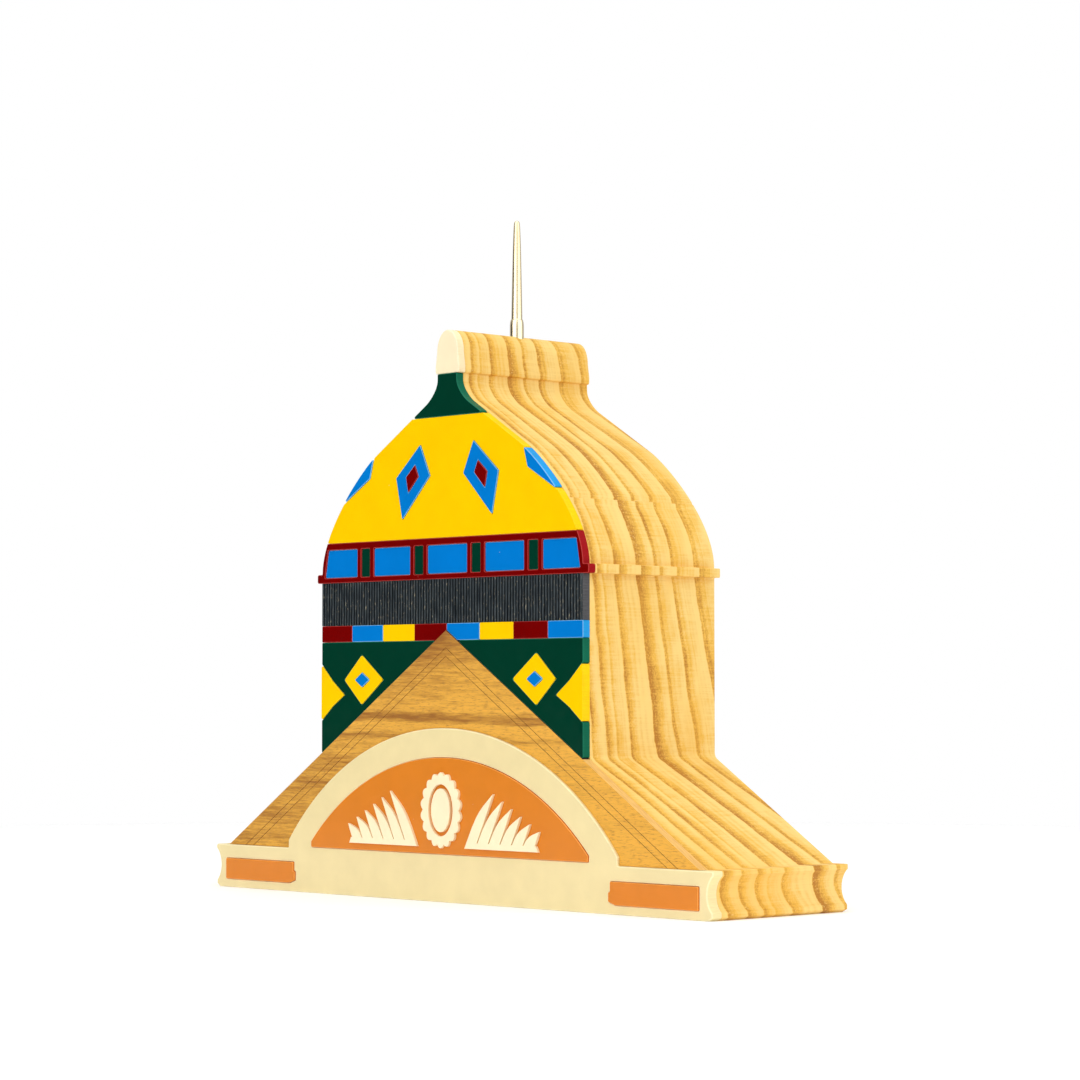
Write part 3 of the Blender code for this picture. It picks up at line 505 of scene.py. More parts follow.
# Growth rings in the order they are met from the front: place and width in millimetres, and darkness.
RINGS = (
    (-8.5, 2.8, 0.9), (-3.7, 2.6, 0.8), (0.7, 2.6, 0.85), (4.0, 1.8, 0.5), (8.3, 3.0, 0.85),
    (16.3, 4.6, 1.0), (22.6, 2.2, 0.85), (28.9, 3.0, 0.9), (37.2, 5.0, 0.75), (46.0, 3.6, 0.85),
)
RING_FIRST = -12.0
RING_LAST = 50.0
RING_START = 0.1
BEFORE_RING = (-0.2, 0.02)
RING_FRONT = 0.15
BEHIND_RING = 0.24

# How the rings lean and spread down each board, in millimetres for each millimetre down.
UPPER_SHIFT = -0.5
UPPER_LEAN = 0.025
UPPER_SPREAD = 0.0035
LOWER_LEAN = -0.12
LOWER_SPREAD = 0.003
SLOPE_FALL = 0.9
CURL_HEIGHT = 1.6 * MM
CURL_REACH = 0.8

# Grain sizes of the pine: cells per metre along X, Y and Z, or one number for all three.
RING_WAVE = (20.0, 60.0, 60.0)
RING_RIPPLE = (350.0, 700.0, 700.0)
FIBRES = (2400.0, 110.0, 2400.0)
BLOTCHES = (60.0, 140.0, 90.0)
WARM_PATCHES = (16.0, 70.0, 34.0)
LONG_GRAIN_UPPER = (28.0, 500.0, 630.0)
LONG_GRAIN_LOWER = (28.0, 500.0, 700.0)
GRIT = 1900.0
PITS = 1500.0
PIT_SIZE = 0.34
PIT_SHARE = 0.3
FACING_FRONT = 0.7


def ring_stops():
    """Each ring's place, width and darkness as ramp stops: a sharp dark front that fades to the back."""
    stops = [(0.0, RING_START)]
    for place, width, dark in RINGS:
        lead, pale = BEFORE_RING
        for where, shade in ((place + lead, pale), (place + RING_FRONT, dark), (place + width, BEHIND_RING)):
            stops.append(((where - RING_FIRST) / (RING_LAST - RING_FIRST), shade))
    return stops


def ring_place(finish, upper):
    """How many millimetres through the rings a place on the board is, counted at the board's joint edge."""
    axes = finish.axes()
    depth = finish.math("DIVIDE", finish.math("SUBTRACT", axes["Y"], BLOCK_FRONT), MM)
    above = finish.math("ABSOLUTE", finish.math("SUBTRACT", axes["Z"], SEAM))
    curl = finish.span(above, 0.0, CURL_HEIGHT, CURL_REACH if upper else -CURL_REACH, 0.0)
    depth = finish.math("ADD", depth, curl)
    if upper:
        down = finish.math("DIVIDE", finish.math("SUBTRACT", SEAM, axes["Z"]), MM)
        lean = finish.math("MULTIPLY_ADD", down, UPPER_LEAN, UPPER_SHIFT)
        spread = finish.math("MULTIPLY_ADD", down, UPPER_SPREAD, 1.0)
        place = finish.math("DIVIDE", finish.math("ADD", depth, lean), spread)
    else:
        under = finish.math("DIVIDE", finish.math("SUBTRACT", CORNICE_BOTTOM, axes["Z"]), MM)
        down = finish.math("MAXIMUM", 0.0, under)
        below = finish.math("MAXIMUM", 0.0, finish.math("SUBTRACT", down, (CORNICE_BOTTOM - EAVES) / MM))
        fall = finish.math("MULTIPLY_ADD", below, SLOPE_FALL, down)
        lean = finish.math("MULTIPLY_ADD", fall, LOWER_LEAN, depth)
        place = finish.math("DIVIDE", lean, finish.math("MULTIPLY_ADD", fall, LOWER_SPREAD, 1.0))
    wave = finish.span(finish.noise(RING_WAVE, 1.0), 0.0, 1.0, -1.1, 1.1)
    ripple = finish.span(finish.noise(RING_RIPPLE, 2.0), 0.0, 1.0, -0.2, 0.2)
    return finish.math("ADD", finish.math("ADD", place, wave), ripple)


def sawn_sides(finish, colours, through, late, fibres, grit):
    """The pine where its rings are cut across, with blotches, warm patches, cutter lines and pits."""
    faint = finish.span(finish.ripple(through, 1.1), 0.3, 0.7, -0.1, 0.1)
    blotch = finish.span(finish.noise(BLOTCHES, 3.0, 0.6), 0.3, 0.7, -0.2, 0.2)
    lines = finish.span(fibres, 0.3, 0.7, -0.13, 0.13)
    deep = finish.math("MULTIPLY", finish.span(grit, 0.35, 0.65, -0.22, 0.22), late)
    dark = late
    for layer in (blotch, faint, lines, deep):
        dark = finish.math("ADD", dark, layer)
    wood = finish.ramp(dark, [
        (0.0, brighter(colours.earlywood, 1.06)), (0.16, tuple(colours.earlywood)),
        (0.5, tuple(colours.goldenwood)), (1.0, tuple(colours.latewood)),
    ])
    patches = finish.span(finish.noise(WARM_PATCHES, 3.0, 0.6), 0.48, 0.72, 0.0, 0.4)
    wood = finish.mix(patches, wood, tuple(colours.resin_gold))
    dark_only = finish.span(late, 0.3, 0.7, 0.0, 0.45)
    pits = finish.math("MULTIPLY", finish.specks(PITS, PIT_SIZE, PIT_SHARE), dark_only)
    return finish.mix(pits, wood, tuple(colours.earlywood))


def pine(name, colours, upper):
    """Milled softwood: hard-edged growth rings on the sides and long grain on the front and back."""
    finish = Finish(name)
    through = ring_place(finish, upper)
    late = finish.ramp(finish.span(through, RING_FIRST, RING_LAST), ring_stops())
    fibres = finish.noise(FIBRES, 3.0, 0.6)
    grit = finish.noise(GRIT, 3.0, 0.7)
    wood = sawn_sides(finish, colours, through, late, fibres, grit)
    parts = finish.add("ShaderNodeSeparateXYZ")
    finish.feed(parts.inputs[0], finish.add("ShaderNodeNewGeometry").outputs["True Normal"])
    facing = finish.math("GREATER_THAN", finish.math("ABSOLUTE", parts.outputs["Y"]), FACING_FRONT)
    streaks = finish.noise(LONG_GRAIN_UPPER if upper else LONG_GRAIN_LOWER, 4.0, 0.6)
    long_grain = finish.ramp(streaks, [
        (0.3, tuple(colours.earlywood)), (0.5, tuple(colours.goldenwood)), (0.75, tuple(colours.latewood)),
    ])
    finish.set("Base Color", finish.mix(finish.math("MULTIPLY", facing, 0.65), wood, long_grain))
    finish.set("Roughness", finish.span(late, 0.0, 1.0, 0.66, 0.5))
    finish.shader.inputs["Specular IOR Level"].default_value = 0.3
    height = finish.math("ADD", finish.math("MULTIPLY", late, 0.5), finish.math("MULTIPLY", fibres, 0.4))
    finish.bump(finish.math("ADD", height, finish.math("MULTIPLY", grit, 0.15)), 0.12 * MM, 0.6)
    return finish.material


# Bands across the gable: height in millimetres and darkness.
GABLE_BANDS = (
    (0.0, 0.3), (12.0, 0.15), (14.5, 0.35), (17.0, 0.15), (22.0, 0.35), (24.0, 0.15), (29.5, 0.42),
    (31.5, 0.2), (36.0, 0.4), (37.5, 0.18), (41.0, 0.2), (42.3, 0.6), (43.5, 0.15), (45.3, 0.1),
    (46.4, 0.75), (47.6, 0.7), (49.2, 0.12), (56.0, 0.2), (60.0, 0.08), (64.0, 0.25), (72.0, 0.2),
)
PEAK_TONE = 22 * MM

# Grain sizes of the gable, in cells per metre.
GABLE_WAVE = (22.0, 1.0, 60.0)
GABLE_RIPPLE = (120.0, 1.0, 400.0)
GABLE_CLOUD = (30.0, 1.0, 120.0)
GABLE_DASHES = (420.0, 1.0, 3600.0)
GABLE_GRAIN = (90.0, 1.0, 1500.0)
GABLE_MILLING = (300.0, 2500.0, 300.0)
SOOT = 900.0
SCORCH = (400.0, 400.0, 1800.0)


def gable_face(colours):
    """Thin flat-sawn wood, darker to the peak: wavy bands and many short dark dashes along the grain."""
    finish = Finish("gable_face")
    axes = finish.axes()
    height = finish.math("DIVIDE", axes["Z"], MM)
    wave = finish.span(finish.noise(GABLE_WAVE, 2.0), 0.0, 1.0, -3.0, 3.0)
    ripple = finish.span(finish.noise(GABLE_RIPPLE, 3.0), 0.0, 1.0, -0.8, 0.8)
    level = finish.math("ADD", finish.math("ADD", height, wave), ripple)
    top = GABLE_BANDS[-1][0]
    stops = [(place / top, shade) for place, shade in GABLE_BANDS]
    bands = finish.ramp(finish.math("DIVIDE", level, top), stops)
    cloud = finish.span(finish.noise(GABLE_CLOUD, 4.0, 0.6), 0.25, 0.75, -0.16, 0.16)
    dashes = finish.span(finish.noise(GABLE_DASHES, 3.0, 0.7), 0.52, 0.68)
    grain = finish.span(finish.noise(GABLE_GRAIN, 4.0, 0.65), 0.3, 0.7, -0.3, 0.3)
    peak = finish.span(axes["Z"], GABLE_TOP - PEAK_TONE, GABLE_TOP, 0.0, 0.6)
    left = finish.span(axes["X"], -GABLE_HALF, GABLE_HALF, 0.32, -0.26)
    dark = bands
    for layer in (cloud, grain, peak, left):
        dark = finish.math("ADD", dark, layer)
    wood = finish.ramp(dark, [
        (0.0, brighter(colours.gable_wood, 1.12)), (0.3, tuple(colours.gable_wood)),
        (0.9, tuple(colours.gable_band)),
    ])
    wood = finish.mix(finish.math("MULTIPLY", dashes, 0.6), wood, tint(132, 82, 32))
    finish.set("Base Color", wood)
    finish.set("Roughness", finish.span(dark, 0.0, 1.0, 0.5, 0.62))
    finish.shader.inputs["Specular IOR Level"].default_value = 0.35
    raised = finish.math("MULTIPLY", grain, 0.5)
    finish.bump(finish.math("SUBTRACT", raised, finish.math("MULTIPLY", dashes, 0.6)), 0.08 * MM, 0.6)
    return finish.material


def gable_side():
    """The gable's cut edge: charred by the laser beside the walls, clean where it was milled outside them."""
    finish = Finish("gable_side")
    axes = finish.axes()
    trimmed = finish.math("GREATER_THAN", finish.math("ABSOLUTE", axes["X"]), WALL_HALF)
    soot = finish.noise(SOOT, 3.0)
    burnt = finish.ramp(soot, [(0.3, tint(20, 12, 6)), (0.7, tint(56, 34, 16))])
    lines = finish.noise(GABLE_MILLING, 3.0)
    milled = finish.ramp(lines, [(0.3, tint(214, 162, 84)), (0.7, tint(236, 188, 106))])
    finish.set("Base Color", finish.mix(trimmed, burnt, milled))
    finish.set("Roughness", finish.span(soot, 0.0, 1.0, 0.6, 0.85))
    finish.bump(soot, 0.05 * MM, 0.6)
    return finish.material


def burnt_line():
    """The bottom of an engraved line, browned unevenly by the laser."""
    finish = Finish("burnt_line")
    scorch = finish.noise(SCORCH, 3.0, 0.7)
    finish.set("Base Color", finish.ramp(scorch, [(0.35, tint(98, 56, 18)), (0.65, tint(186, 128, 52))]))
    finish.set("Roughness", finish.span(scorch, 0.0, 1.0, 0.7, 0.9))
    return finish.material


ACRYLIC_IOR = 1.49
MOTTLE = 160.0
DUST = 260.0
DUST_SIZE = 0.035
DUST_SHARE = 0.16
POLISH = 420.0
FACE_RIPPLE = 90.0
FACE_ORANGE_PEEL = 1500.0
CUTTER_LINES = (500.0, 240.0, 5200.0)


def acrylic(name, face, rough=0.16, uneven=0.03, scratch=0.0, shine=0.2):
    """Cast acrylic: a faint mottle, a soft polish, dust specks, and cutter marks where it was milled."""
    finish = Finish(name)
    mottle = finish.span(finish.noise(MOTTLE, 3.0), 0.3, 0.7)
    shade = finish.mix(mottle, brighter(face, 1 - uneven), brighter(face, 1 + uneven))
    dust = finish.specks(DUST, DUST_SIZE, DUST_SHARE)
    shade = finish.mix(finish.math("MULTIPLY", dust, 0.35), shade, tint(235, 225, 205))
    if scratch:
        lines = finish.span(finish.noise(CUTTER_LINES, 3.0, 0.7), 0.35, 0.7)
        shade = finish.mix(finish.math("MULTIPLY", lines, scratch), shade, brighter(face, 1.5))
        finish.bump(lines, 0.04 * MM, 0.5)
    else:
        peel = finish.math("MULTIPLY", finish.noise(FACE_ORANGE_PEEL, 2.0), 0.06)
        finish.bump(finish.math("ADD", finish.noise(FACE_RIPPLE, 2.0), peel), 0.02 * MM, 0.5)
    finish.set("Base Color", shade)
    finish.set("Roughness", finish.span(finish.noise(POLISH, 4.0), 0.3, 0.7, rough * 0.8, rough * 1.3))
    finish.shader.inputs["Specular IOR Level"].default_value = shine
    finish.shader.inputs["IOR"].default_value = ACRYLIC_IOR
    return finish.material


def acrylic_set(slot, colours):
    """The three finishes of an acrylic plate: its face, its front edge painted lighter as a highlight and
    marked by the cutter, and its milled side.
    """
    if slot + "_face" not in bpy.data.materials:
        rim_highlight, side = RIM_HIGHLIGHTS_AND_SIDES[slot]
        acrylic(slot + "_face", tuple(getattr(colours, slot)))
        # The front edge's lighter colour is a painted highlight along the cut edge.
        acrylic(slot + "_rim", rim_highlight, rough=0.35, uneven=0.1, scratch=0.3, shine=0.15)
        acrylic(slot + "_side", side, rough=0.4, uneven=0.08, scratch=0.3, shine=0.1)
    return [bpy.data.materials[slot + part] for part in ("_face", "_rim", "_side")]


SPARKS = (2600.0, 2600.0, 900.0)
SCUFFS = (1500.0, 1500.0, 260.0)
MILLED_END = 0.12 * MM


def slate(colours, face, rib_depth):
    """Grooved acrylic: grooves that get darker the deeper they go, greyer rib tops with pale torn sparks, and
    milled ends.
    """
    finish = Finish("slate")
    axes = finish.axes()
    depth = finish.math("DIVIDE", finish.math("SUBTRACT", axes["Y"], face), rib_depth)
    top = finish.span(depth, 0.05, 0.5, 1.0, 0.0)
    sparks = finish.span(finish.noise(SPARKS, 3.0, 0.7), 0.6, 0.78)
    scuffs = finish.noise(SCUFFS, 3.0)
    rib = finish.ramp(scuffs, [(0.3, tint(18, 28, 35)), (0.7, tint(54, 64, 68))])
    shade = finish.mix(top, brighter(colours.slate, 0.45), rib)
    end = finish.math("GREATER_THAN", finish.math("ABSOLUTE", axes["X"]), WALL_HALF - MILLED_END)
    lines = finish.noise(CUTTER_LINES, 3.0, 0.7)
    milled = finish.ramp(lines, [(0.35, tint(44, 45, 49)), (0.7, tint(78, 78, 80))])
    torn = finish.math("MULTIPLY", finish.math("MULTIPLY", sparks, top), 0.8)
    shade = finish.mix(torn, shade, tint(222, 206, 168))
    finish.set("Base Color", finish.mix(end, shade, milled))
    finish.set("Roughness", finish.span(scuffs, 0.3, 0.7, 0.3, 0.5))
    finish.bump(scuffs, 0.03 * MM, 0.5)
    return finish.material


TARNISH = (220.0, 220.0, 120.0)
TARNISH_SHADE = (0.93, 0.88, 0.78)
LATHE_LINES = (60.0, 60.0, 2500.0)


def brass(colours):
    """Polished brass with fine lathe lines and a trace of tarnish."""
    finish = Finish("brass")
    tarnish = finish.noise(TARNISH, 3.0)
    dull = tuple(part * shade for part, shade in zip(colours.brass, TARNISH_SHADE))
    finish.set("Base Color", finish.mix(finish.span(tarnish, 0.35, 0.75), tuple(colours.brass), dull))
    finish.shader.inputs["Metallic"].default_value = 1.0
    finish.set("Roughness", finish.span(tarnish, 0.2, 0.8, 0.18, 0.26))
    finish.bump(finish.noise(LATHE_LINES, 2.0), 0.005 * MM, 0.1)
    return finish.material


# ---------------------------------------------------------------- pieces
def spread(sizes):
    """How far a plate is carried on towards its neighbours."""
    return (KERF - sizes.plate_gap) / 2


def make_plate(node, sizes, colours, edge, corner, growth=None, back=None):
    """An acrylic plate in its final shape, carried on to its neighbours and to the wood behind it."""
    reach = spread(sizes) if growth is None else growth
    loops = [moved(rounded(loop, corner), reach) for loop in flat_loops(node)]
    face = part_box(node)[0].y
    rear = BLOCK_FRONT - TOUCHING if back is None else back
    piece = slab(node + "_piece", loops, face, rear, acrylic_set(SLOTS[node], colours), edge)
    return finish_piece(piece, node)


def make_board(node, sizes, finish, foot):
    """One pine board of the block with its edges eased and its underside brought to a given height."""
    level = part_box(node)[0].z + SAME_PLANE
    loops = [[(x, foot if z < level else z) for x, z in loop] for loop in flat_loops(node)]
    loops = [rounded(loop, sizes.board_corner, SEAM) for loop in loops]
    edge = sizes.board_edge
    return slab(node + "_piece", loops, BLOCK_FRONT, BLOCK_BACK, [finish] * 3, edge, edge)


def turned(name, profile, centre, steps, finish):
    """A solid of revolution from its side line, given from the top of its axis to the bottom."""
    vertices = [(centre.x, centre.y, profile[0][1])]
    for radius, z in profile[1:-1]:
        for i in range(steps):
            angle = 2 * math.pi * i / steps
            vertices.append((centre.x + radius * math.cos(angle), centre.y + radius * math.sin(angle), z))
    vertices.append((centre.x, centre.y, profile[-1][1]))
    last = len(vertices) - 1
    faces = [(0, 1 + i, 1 + (i + 1) % steps) for i in range(steps)]
    for ring in range(len(profile) - 3):
        for i in range(steps):
            a, b = 1 + ring * steps + i, 1 + ring * steps + (i + 1) % steps
            faces.append((a, a + steps, b + steps, b))
    bottom = last - steps
    faces += [(last, bottom + (i + 1) % steps, bottom + i) for i in range(steps)]
    return new_piece(name, vertices, faces, [finish])


def make_block(sizes, colours):
    """Both boards, with the socket for the spire drilled in the upper one."""
    lower = make_board("lower_board", sizes, pine("pine_lower", colours, False), 0.0)
    finish_piece(lower, "lower_board")
    wood = pine("pine_upper", colours, True)
    upper = make_board("upper_board", sizes, wood, SEAM + TOUCHING)
    radius = FERRULE_RADIUS + TOUCHING
    top = CAP_TOP + FERRULE_RADIUS
    hole = [(0.0, top), (radius, top), (radius, SPIRE_BOTTOM - TOUCHING), (0.0, SPIRE_BOTTOM - TOUCHING)]
    cut(upper, turned("socket_cutter", hole, SPIRE_CENTRE, sizes.spire_steps, wood))
    finish_piece(upper, "upper_board")


def chevron(name, drop, sizes, finish):
    """A wedge that cuts one engraved line, parallel to both slopes and coming to a point."""
    point = GABLE_TOP - drop
    run = (point - PLINTH_TOP) / GABLE_SLOPE
    lift = sizes.line_width * math.hypot(1, GABLE_SLOPE)
    outside = GABLE_FACE - sizes.line_depth
    wedge = ((lift, outside), (0.0, GABLE_FACE + sizes.line_depth), (-lift, outside))
    vertices = []
    for x, z in ((-run, PLINTH_TOP), (0.0, point), (run, PLINTH_TOP)):
        vertices += [(x, y, z + up) for up, y in wedge]
    faces = [(0, 1, 2), (8, 7, 6)]
    for start in (0, 3):
        for a, b in ((0, 1), (1, 2), (2, 0)):
            faces.append((start + b, start + a, start + a + 3, start + b + 3))
    return new_piece(name, vertices, faces, looks=[finish] * len(faces))


def make_gable(sizes, colours):
    """The gable plate with its two engraved lines; the last of its finishes is the burnt one."""
    face = gable_face(colours)
    finishes = [face, face, gable_side(), burnt_line()]
    loops = [moved(loop, spread(sizes)) for loop in flat_loops("gable_plate")]
    gable = slab("gable_plate_piece", loops, GABLE_FACE, BLOCK_FRONT - TOUCHING, finishes, sizes.gable_edge)
    for name, drop in (("outer_line", sizes.line_upper), ("inner_line", sizes.line_lower)):
        cut(gable, chevron(name, drop, sizes, len(finishes) - 1))
    finish_piece(gable, "gable_plate")


def make_arch(sizes, colours):
    """The cream plinth front and arch, in one plate."""
    make_plate("arch_panel", sizes, colours, sizes.cream_edge, sizes.cream_corner)


def make_orange(sizes, colours):
    """The lunette and the two plaques."""
    for node in ("lunette", "plaque_left", "plaque_right"):
        make_plate(node, sizes, colours, sizes.plate_edge, sizes.plate_corner)


def make_ornament(sizes, colours):
    """The raised ornament, glued to the lunette's face."""
    for node in ("wreath", "medallion", "spray_left", "spray_right"):
        make_plate(node, sizes, colours, sizes.ornament_edge, 0.0, 0.0, LUNETTE_FACE - TOUCHING)


def make_walls(sizes, colours):
    """The green walls, their lozenges with blue hearts, and the half lozenges at the edges."""
    for side in ("left", "right"):
        make_plate(f"wall_field_{side}", sizes, colours, sizes.plate_edge, sizes.plate_corner)
        make_plate(f"wall_lozenge_{side}", sizes, colours, sizes.plate_edge, sizes.lozenge_corner)
        make_plate(f"wall_edge_lozenge_{side}", sizes, colours, sizes.plate_edge, sizes.plate_corner)
        make_plate(f"wall_heart_{side}", sizes, colours, sizes.inlay_edge, sizes.inlay_corner)


def make_tiles(sizes, colours):
    """The row of tiles."""
    for node in sorted(node for node in frame["nodes"] if node.startswith("tile_")):
        make_plate(node, sizes, colours, sizes.inlay_edge, sizes.inlay_corner)


def make_band(sizes, colours):
    """The ribbed band is its own plan pulled up, carried on to its neighbours above, below and beside it."""
    low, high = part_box("ribbed_band")
    reach = spread(sizes)
    rear = BLOCK_FRONT - TOUCHING
    plan = []
    for x, y in flat_loops("ribbed_band", HEIGHT_AXIS, 1)[0]:
        x = math.copysign(abs(x) + reach, x) if abs(x) > high.x - SAME_PLANE else x
        plan.append((x, rear if y > high.y - SAME_PLANE else y))
    rib_depth = min(y - low.y for x, y in plan if y > low.y + SAME_PLANE)
    finish = slate(colours, low.y, rib_depth)
    ribs = [rounded(plan, sizes.rib_corner)]
    band = slab("ribbed_band_piece", ribs, -high.z - reach, -low.z + reach, [finish] * 3, place=lying)
    finish_piece(band, "ribbed_band")


def make_windows(sizes, colours):
    """The window frame with its panes and pillars."""
    make_plate("window_frame", sizes, colours, sizes.plate_edge, sizes.pane_corner)
    for node in sorted(frame["nodes"]):
        if node.startswith("window_pane_") or node.startswith("window_pillar_"):
            make_plate(node, sizes, colours, sizes.inlay_edge, sizes.pane_corner)


def make_dome(sizes, colours):
    """The dome plate, its diamonds with red hearts, and the half diamonds at the edges."""
    make_plate("dome_panel", sizes, colours, sizes.plate_edge, sizes.plate_corner)
    for side in ("left", "right"):
        make_plate(f"dome_diamond_{side}", sizes, colours, sizes.inlay_edge, sizes.inlay_corner)
        make_plate(f"dome_heart_{side}", sizes, colours, sizes.inlay_edge, sizes.inlay_corner)
        make_plate(f"dome_edge_diamond_{side}", sizes, colours, sizes.plate_edge, sizes.plate_corner)


def make_cap(sizes, colours):
    """The neck plate and the ridge cap's end plate."""
    make_plate("neck_panel", sizes, colours, sizes.plate_edge, sizes.plate_corner)
    make_plate("ridge_cap", sizes, colours, sizes.cream_edge, sizes.cap_corner)


def quarter_oval(start, end, steps):
    """A quarter of an oval that leaves its start level and reaches its end upright, without its start."""
    turns = [math.pi / 2 * i / steps for i in range(1, steps + 1)]
    (r0, z0), (r1, z1) = start, end
    return [(r0 + (r1 - r0) * math.sin(turn), z1 + (z0 - z1) * math.cos(turn)) for turn in turns]


CURVE_STEPS = 8
SHAFT_STEPS = 40


def make_spire(sizes, colours):
    """A slender swelling shaft on a ferrule, with its shank in the block."""
    tip = SPIRE_TOP - sizes.tip_radius
    ferrule_top = CAP_TOP + sizes.ferrule_height
    shaft_foot = ferrule_top + sizes.ferrule_shoulder
    profile = [(0.0, SPIRE_TOP)] + quarter_oval((0.0, SPIRE_TOP), (sizes.tip_radius, tip), CURVE_STEPS)
    for i in range(1, SHAFT_STEPS + 1):
        down = i / SHAFT_STEPS
        radius = sizes.tip_radius + (sizes.shaft_radius - sizes.tip_radius) * down ** sizes.shaft_swell
        profile.append((radius, tip - (tip - shaft_foot) * down))
    profile += quarter_oval((sizes.shaft_radius, shaft_foot), (FERRULE_RADIUS, ferrule_top), CURVE_STEPS)
    profile += [(FERRULE_RADIUS, SPIRE_BOTTOM), (0.0, SPIRE_BOTTOM)]
    spire = turned("brass_spire_piece", profile, SPIRE_CENTRE, sizes.spire_steps, brass(colours))
    finish_piece(spire, "brass_spire")


# ---------------------------------------------------------------- studio
def softbox(name, azimuth, elevation, distance, width, height, power):
    """A soft square light aimed at the middle of the piece."""
    light = bpy.data.lights.new(name, "AREA")
    light.shape = "RECTANGLE"
    light.size = width
    light.size_y = height
    light.energy = power
    lamp = bpy.data.objects.new(name, light)
    turn, lift = math.radians(azimuth), math.radians(elevation)
    out = Vector((math.sin(turn) * math.cos(lift), -math.cos(turn) * math.cos(lift), math.sin(lift)))
    lamp.location = Vector((0.0, 0.0, CAP_TOP / 2)) + out * distance
    lamp.rotation_euler = out.to_track_quat("Z", "Y").to_euler()
    lamp.visible_camera = False
    bpy.context.scene.collection.objects.link(lamp)
    return lamp


def make_floor():
    """A wide pale floor with a trace of its own light, so that it stays plain and even."""
    finish = Finish("studio_floor")
    paper = finish.noise(PAPER, 3.0)
    finish.set("Base Color", finish.ramp(paper, [(0.0, tint(246, 246, 246)), (1.0, tint(250, 250, 250))]))
    finish.set("Roughness", finish.span(paper, 0.0, 1.0, 0.85, 0.95))
    finish.shader.inputs["Emission Color"].default_value = (1.0, 1.0, 1.0, 1.0)
    finish.shader.inputs["Emission Strength"].default_value = TABLE_GLOW
    turns = [2 * math.pi * i / TABLE_STEPS for i in range(TABLE_STEPS)]
    corners = [(TABLE_RADIUS * math.cos(turn), TABLE_RADIUS * math.sin(turn)) for turn in turns]
    floor = slab("studio_floor", [corners], 0.0, TABLE_THICKNESS, [finish.material] * 3, place=lying)
    floor.location.z = -TOUCHING


def make_world():
    """White where the camera sees it; as a light it is a soft grey with a dark card left of the front."""
    world = bpy.data.worlds.new("studio")
    world.use_nodes = True
    tree = world.node_tree
    tree.nodes.clear()
    output = tree.nodes.new("ShaderNodeOutputWorld")
    seen = tree.nodes.new("ShaderNodeBackground")
    seen.inputs["Color"].default_value = (1.0, 1.0, 1.0, 1.0)
    light = tree.nodes.new("ShaderNodeBackground")
    light.inputs["Color"].default_value = (1.0, 1.0, 1.0, 1.0)
    way = tree.nodes.new("ShaderNodeTexCoord")
    facing = tree.nodes.new("ShaderNodeVectorMath")
    facing.operation = "DOT_PRODUCT"
    facing.inputs[1].default_value = (math.sin(CARD_AZIMUTH), -math.cos(CARD_AZIMUTH), 0.0)
    fade = tree.nodes.new("ShaderNodeMapRange")
    for i, value in enumerate((CARD_FADE_FROM, CARD_FADE_TO, SKY_LIGHT, CARD_LIGHT), 1):
        fade.inputs[i].default_value = value
    tree.links.new(way.outputs["Generated"], facing.inputs[0])
    tree.links.new(facing.outputs["Value"], fade.inputs[0])
    tree.links.new(fade.outputs["Result"], light.inputs["Strength"])
    rays = tree.nodes.new("ShaderNodeLightPath")
    mix = tree.nodes.new("ShaderNodeMixShader")
    tree.links.new(rays.outputs["Is Camera Ray"], mix.inputs[0])
    tree.links.new(light.outputs[0], mix.inputs[1])
    tree.links.new(seen.outputs[0], mix.inputs[2])
    tree.links.new(mix.outputs[0], output.inputs[0])
    bpy.context.scene.world = world


def make_studio():
    """The floor, the world, three softboxes and the camera."""
    make_floor()
    make_world()
    softbox("front_softbox", azimuth=4.0, elevation=26.0, distance=1.25, width=1.5, height=1.2, power=8.1)
    softbox("right_softbox", azimuth=103.0, elevation=26.0, distance=1.25, width=1.8, height=1.2, power=7.2)
    softbox("top_softbox", azimuth=40.0, elevation=86.0, distance=1.3, width=1.2, height=1.2, power=7.8)
    lens = bpy.data.cameras.new("studio_camera")
    lens.lens = CAMERA_LENS
    lens.sensor_width = CAMERA_SENSOR
    lens.clip_start = CAMERA_NEAR
    camera = bpy.data.objects.new("studio_camera", lens)
    camera.location = CAMERA_PLACE
    camera.rotation_euler = (math.pi / 2 + CAMERA_TILT, 0.0, CAMERA_TURN)
    bpy.context.scene.collection.objects.link(camera)
    bpy.context.scene.camera = camera
    bpy.context.scene.view_settings.view_transform = "Standard"


# ---------------------------------------------------------------- operators
class KeepsakeMaker:
    """What every operator here shares: it makes its pieces from the scene's sizes and colours."""

    bl_options = {"REGISTER", "UNDO"}

    def execute(self, context):
        type(self).make(context.scene.keepsake_sizes, context.scene.keepsake_colours)
        return {"FINISHED"}


class KEEPSAKE_OT_block(KeepsakeMaker, Operator):
    """Make the two milled pine boards of the block"""

    bl_idname = "keepsake.make_block"
    bl_label = "Block"
    make = staticmethod(make_block)


class KEEPSAKE_OT_gable(KeepsakeMaker, Operator):
    """Make the wooden gable with its engraved lines"""

    bl_idname = "keepsake.make_gable"
    bl_label = "Gable"
    make = staticmethod(make_gable)


class KEEPSAKE_OT_arch(KeepsakeMaker, Operator):
    """Make the cream plinth front with its arch"""

    bl_idname = "keepsake.make_arch"
    bl_label = "Arch panel"
    make = staticmethod(make_arch)


class KEEPSAKE_OT_orange(KeepsakeMaker, Operator):
    """Make the orange lunette and the two plaques"""

    bl_idname = "keepsake.make_orange"
    bl_label = "Lunette and plaques"
    make = staticmethod(make_orange)


class KEEPSAKE_OT_ornament(KeepsakeMaker, Operator):
    """Make the wreath, its medallion and the two leaf sprays"""

    bl_idname = "keepsake.make_ornament"
    bl_label = "Raised ornament"
    make = staticmethod(make_ornament)


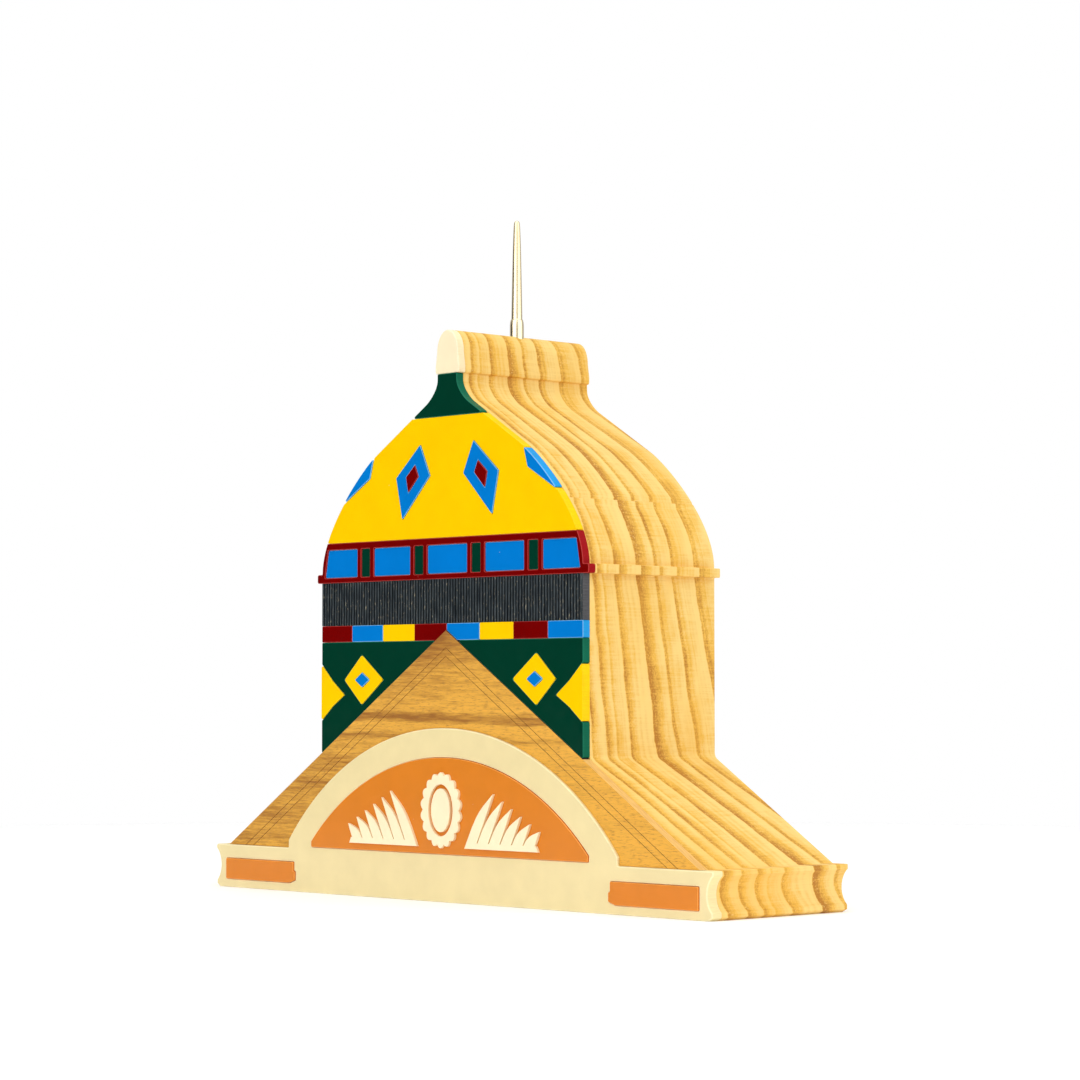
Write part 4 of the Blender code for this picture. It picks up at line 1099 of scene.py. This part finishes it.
class KEEPSAKE_OT_walls(KeepsakeMaker, Operator):
    """Make the green walls with their lozenges"""

    bl_idname = "keepsake.make_walls"
    bl_label = "Walls"
    make = staticmethod(make_walls)


class KEEPSAKE_OT_tiles(KeepsakeMaker, Operator):
    """Make the row of eight tiles"""

    bl_idname = "keepsake.make_tiles"
    bl_label = "Tiles"
    make = staticmethod(make_tiles)


class KEEPSAKE_OT_band(KeepsakeMaker, Operator):
    """Make the slate band with its ribs"""

    bl_idname = "keepsake.make_band"
    bl_label = "Ribbed band"
    make = staticmethod(make_band)


class KEEPSAKE_OT_windows(KeepsakeMaker, Operator):
    """Make the window frame, its panes and its pillars"""

    bl_idname = "keepsake.make_windows"
    bl_label = "Windows"
    make = staticmethod(make_windows)


class KEEPSAKE_OT_dome(KeepsakeMaker, Operator):
    """Make the dome plate with its diamonds"""

    bl_idname = "keepsake.make_dome"
    bl_label = "Dome"
    make = staticmethod(make_dome)


class KEEPSAKE_OT_cap(KeepsakeMaker, Operator):
    """Make the neck plate and the end plate of the ridge cap"""

    bl_idname = "keepsake.make_cap"
    bl_label = "Neck and cap"
    make = staticmethod(make_cap)


class KEEPSAKE_OT_spire(KeepsakeMaker, Operator):
    """Make the turned brass spire"""

    bl_idname = "keepsake.make_spire"
    bl_label = "Spire"
    make = staticmethod(make_spire)


class KEEPSAKE_OT_stage(Operator):
    """Make the floor, the soft lights and the camera"""

    bl_idname = "keepsake.make_stage"
    bl_label = "Studio"
    bl_options = {"REGISTER", "UNDO"}

    def execute(self, context):
        make_studio()
        return {"FINISHED"}


OPERATORS = (
    KEEPSAKE_OT_block, KEEPSAKE_OT_gable, KEEPSAKE_OT_arch, KEEPSAKE_OT_orange, KEEPSAKE_OT_ornament,
    KEEPSAKE_OT_walls, KEEPSAKE_OT_tiles, KEEPSAKE_OT_band, KEEPSAKE_OT_windows, KEEPSAKE_OT_dome,
    KEEPSAKE_OT_cap, KEEPSAKE_OT_spire, KEEPSAKE_OT_stage,
)


class KEEPSAKE_PT_pieces(Panel):
    """Lists the pieces in the order they are made, with the sizes and colours they use"""

    bl_idname = "KEEPSAKE_PT_pieces"
    bl_label = "Facade keepsake"
    bl_space_type = "VIEW_3D"
    bl_region_type = "UI"
    bl_category = "Keepsake"

    def draw(self, context):
        for operator in OPERATORS:
            self.layout.operator(operator.bl_idname)
        for group in (context.scene.keepsake_sizes, context.scene.keepsake_colours):
            column = self.layout.column()
            for name in group.__annotations__:
                column.prop(group, name)


CLASSES = (KeepsakeSizes, KeepsakeColours, *OPERATORS, KEEPSAKE_PT_pieces)


def register():
    """Adds the classes and the scene's sizes and colours."""
    for each in CLASSES:
        bpy.utils.register_class(each)
    bpy.types.Scene.keepsake_sizes = PointerProperty(type=KeepsakeSizes)
    bpy.types.Scene.keepsake_colours = PointerProperty(type=KeepsakeColours)


def unregister():
    """Takes away what register added."""
    del bpy.types.Scene.keepsake_colours
    del bpy.types.Scene.keepsake_sizes
    for each in reversed(CLASSES):
        bpy.utils.unregister_class(each)


def main():
    """Makes every piece and the studio."""
    register()
    for operator in OPERATORS:
        group, name = operator.bl_idname.split(".")
        getattr(getattr(bpy.ops, group), name)()


if __name__ == "__main__":
    main()
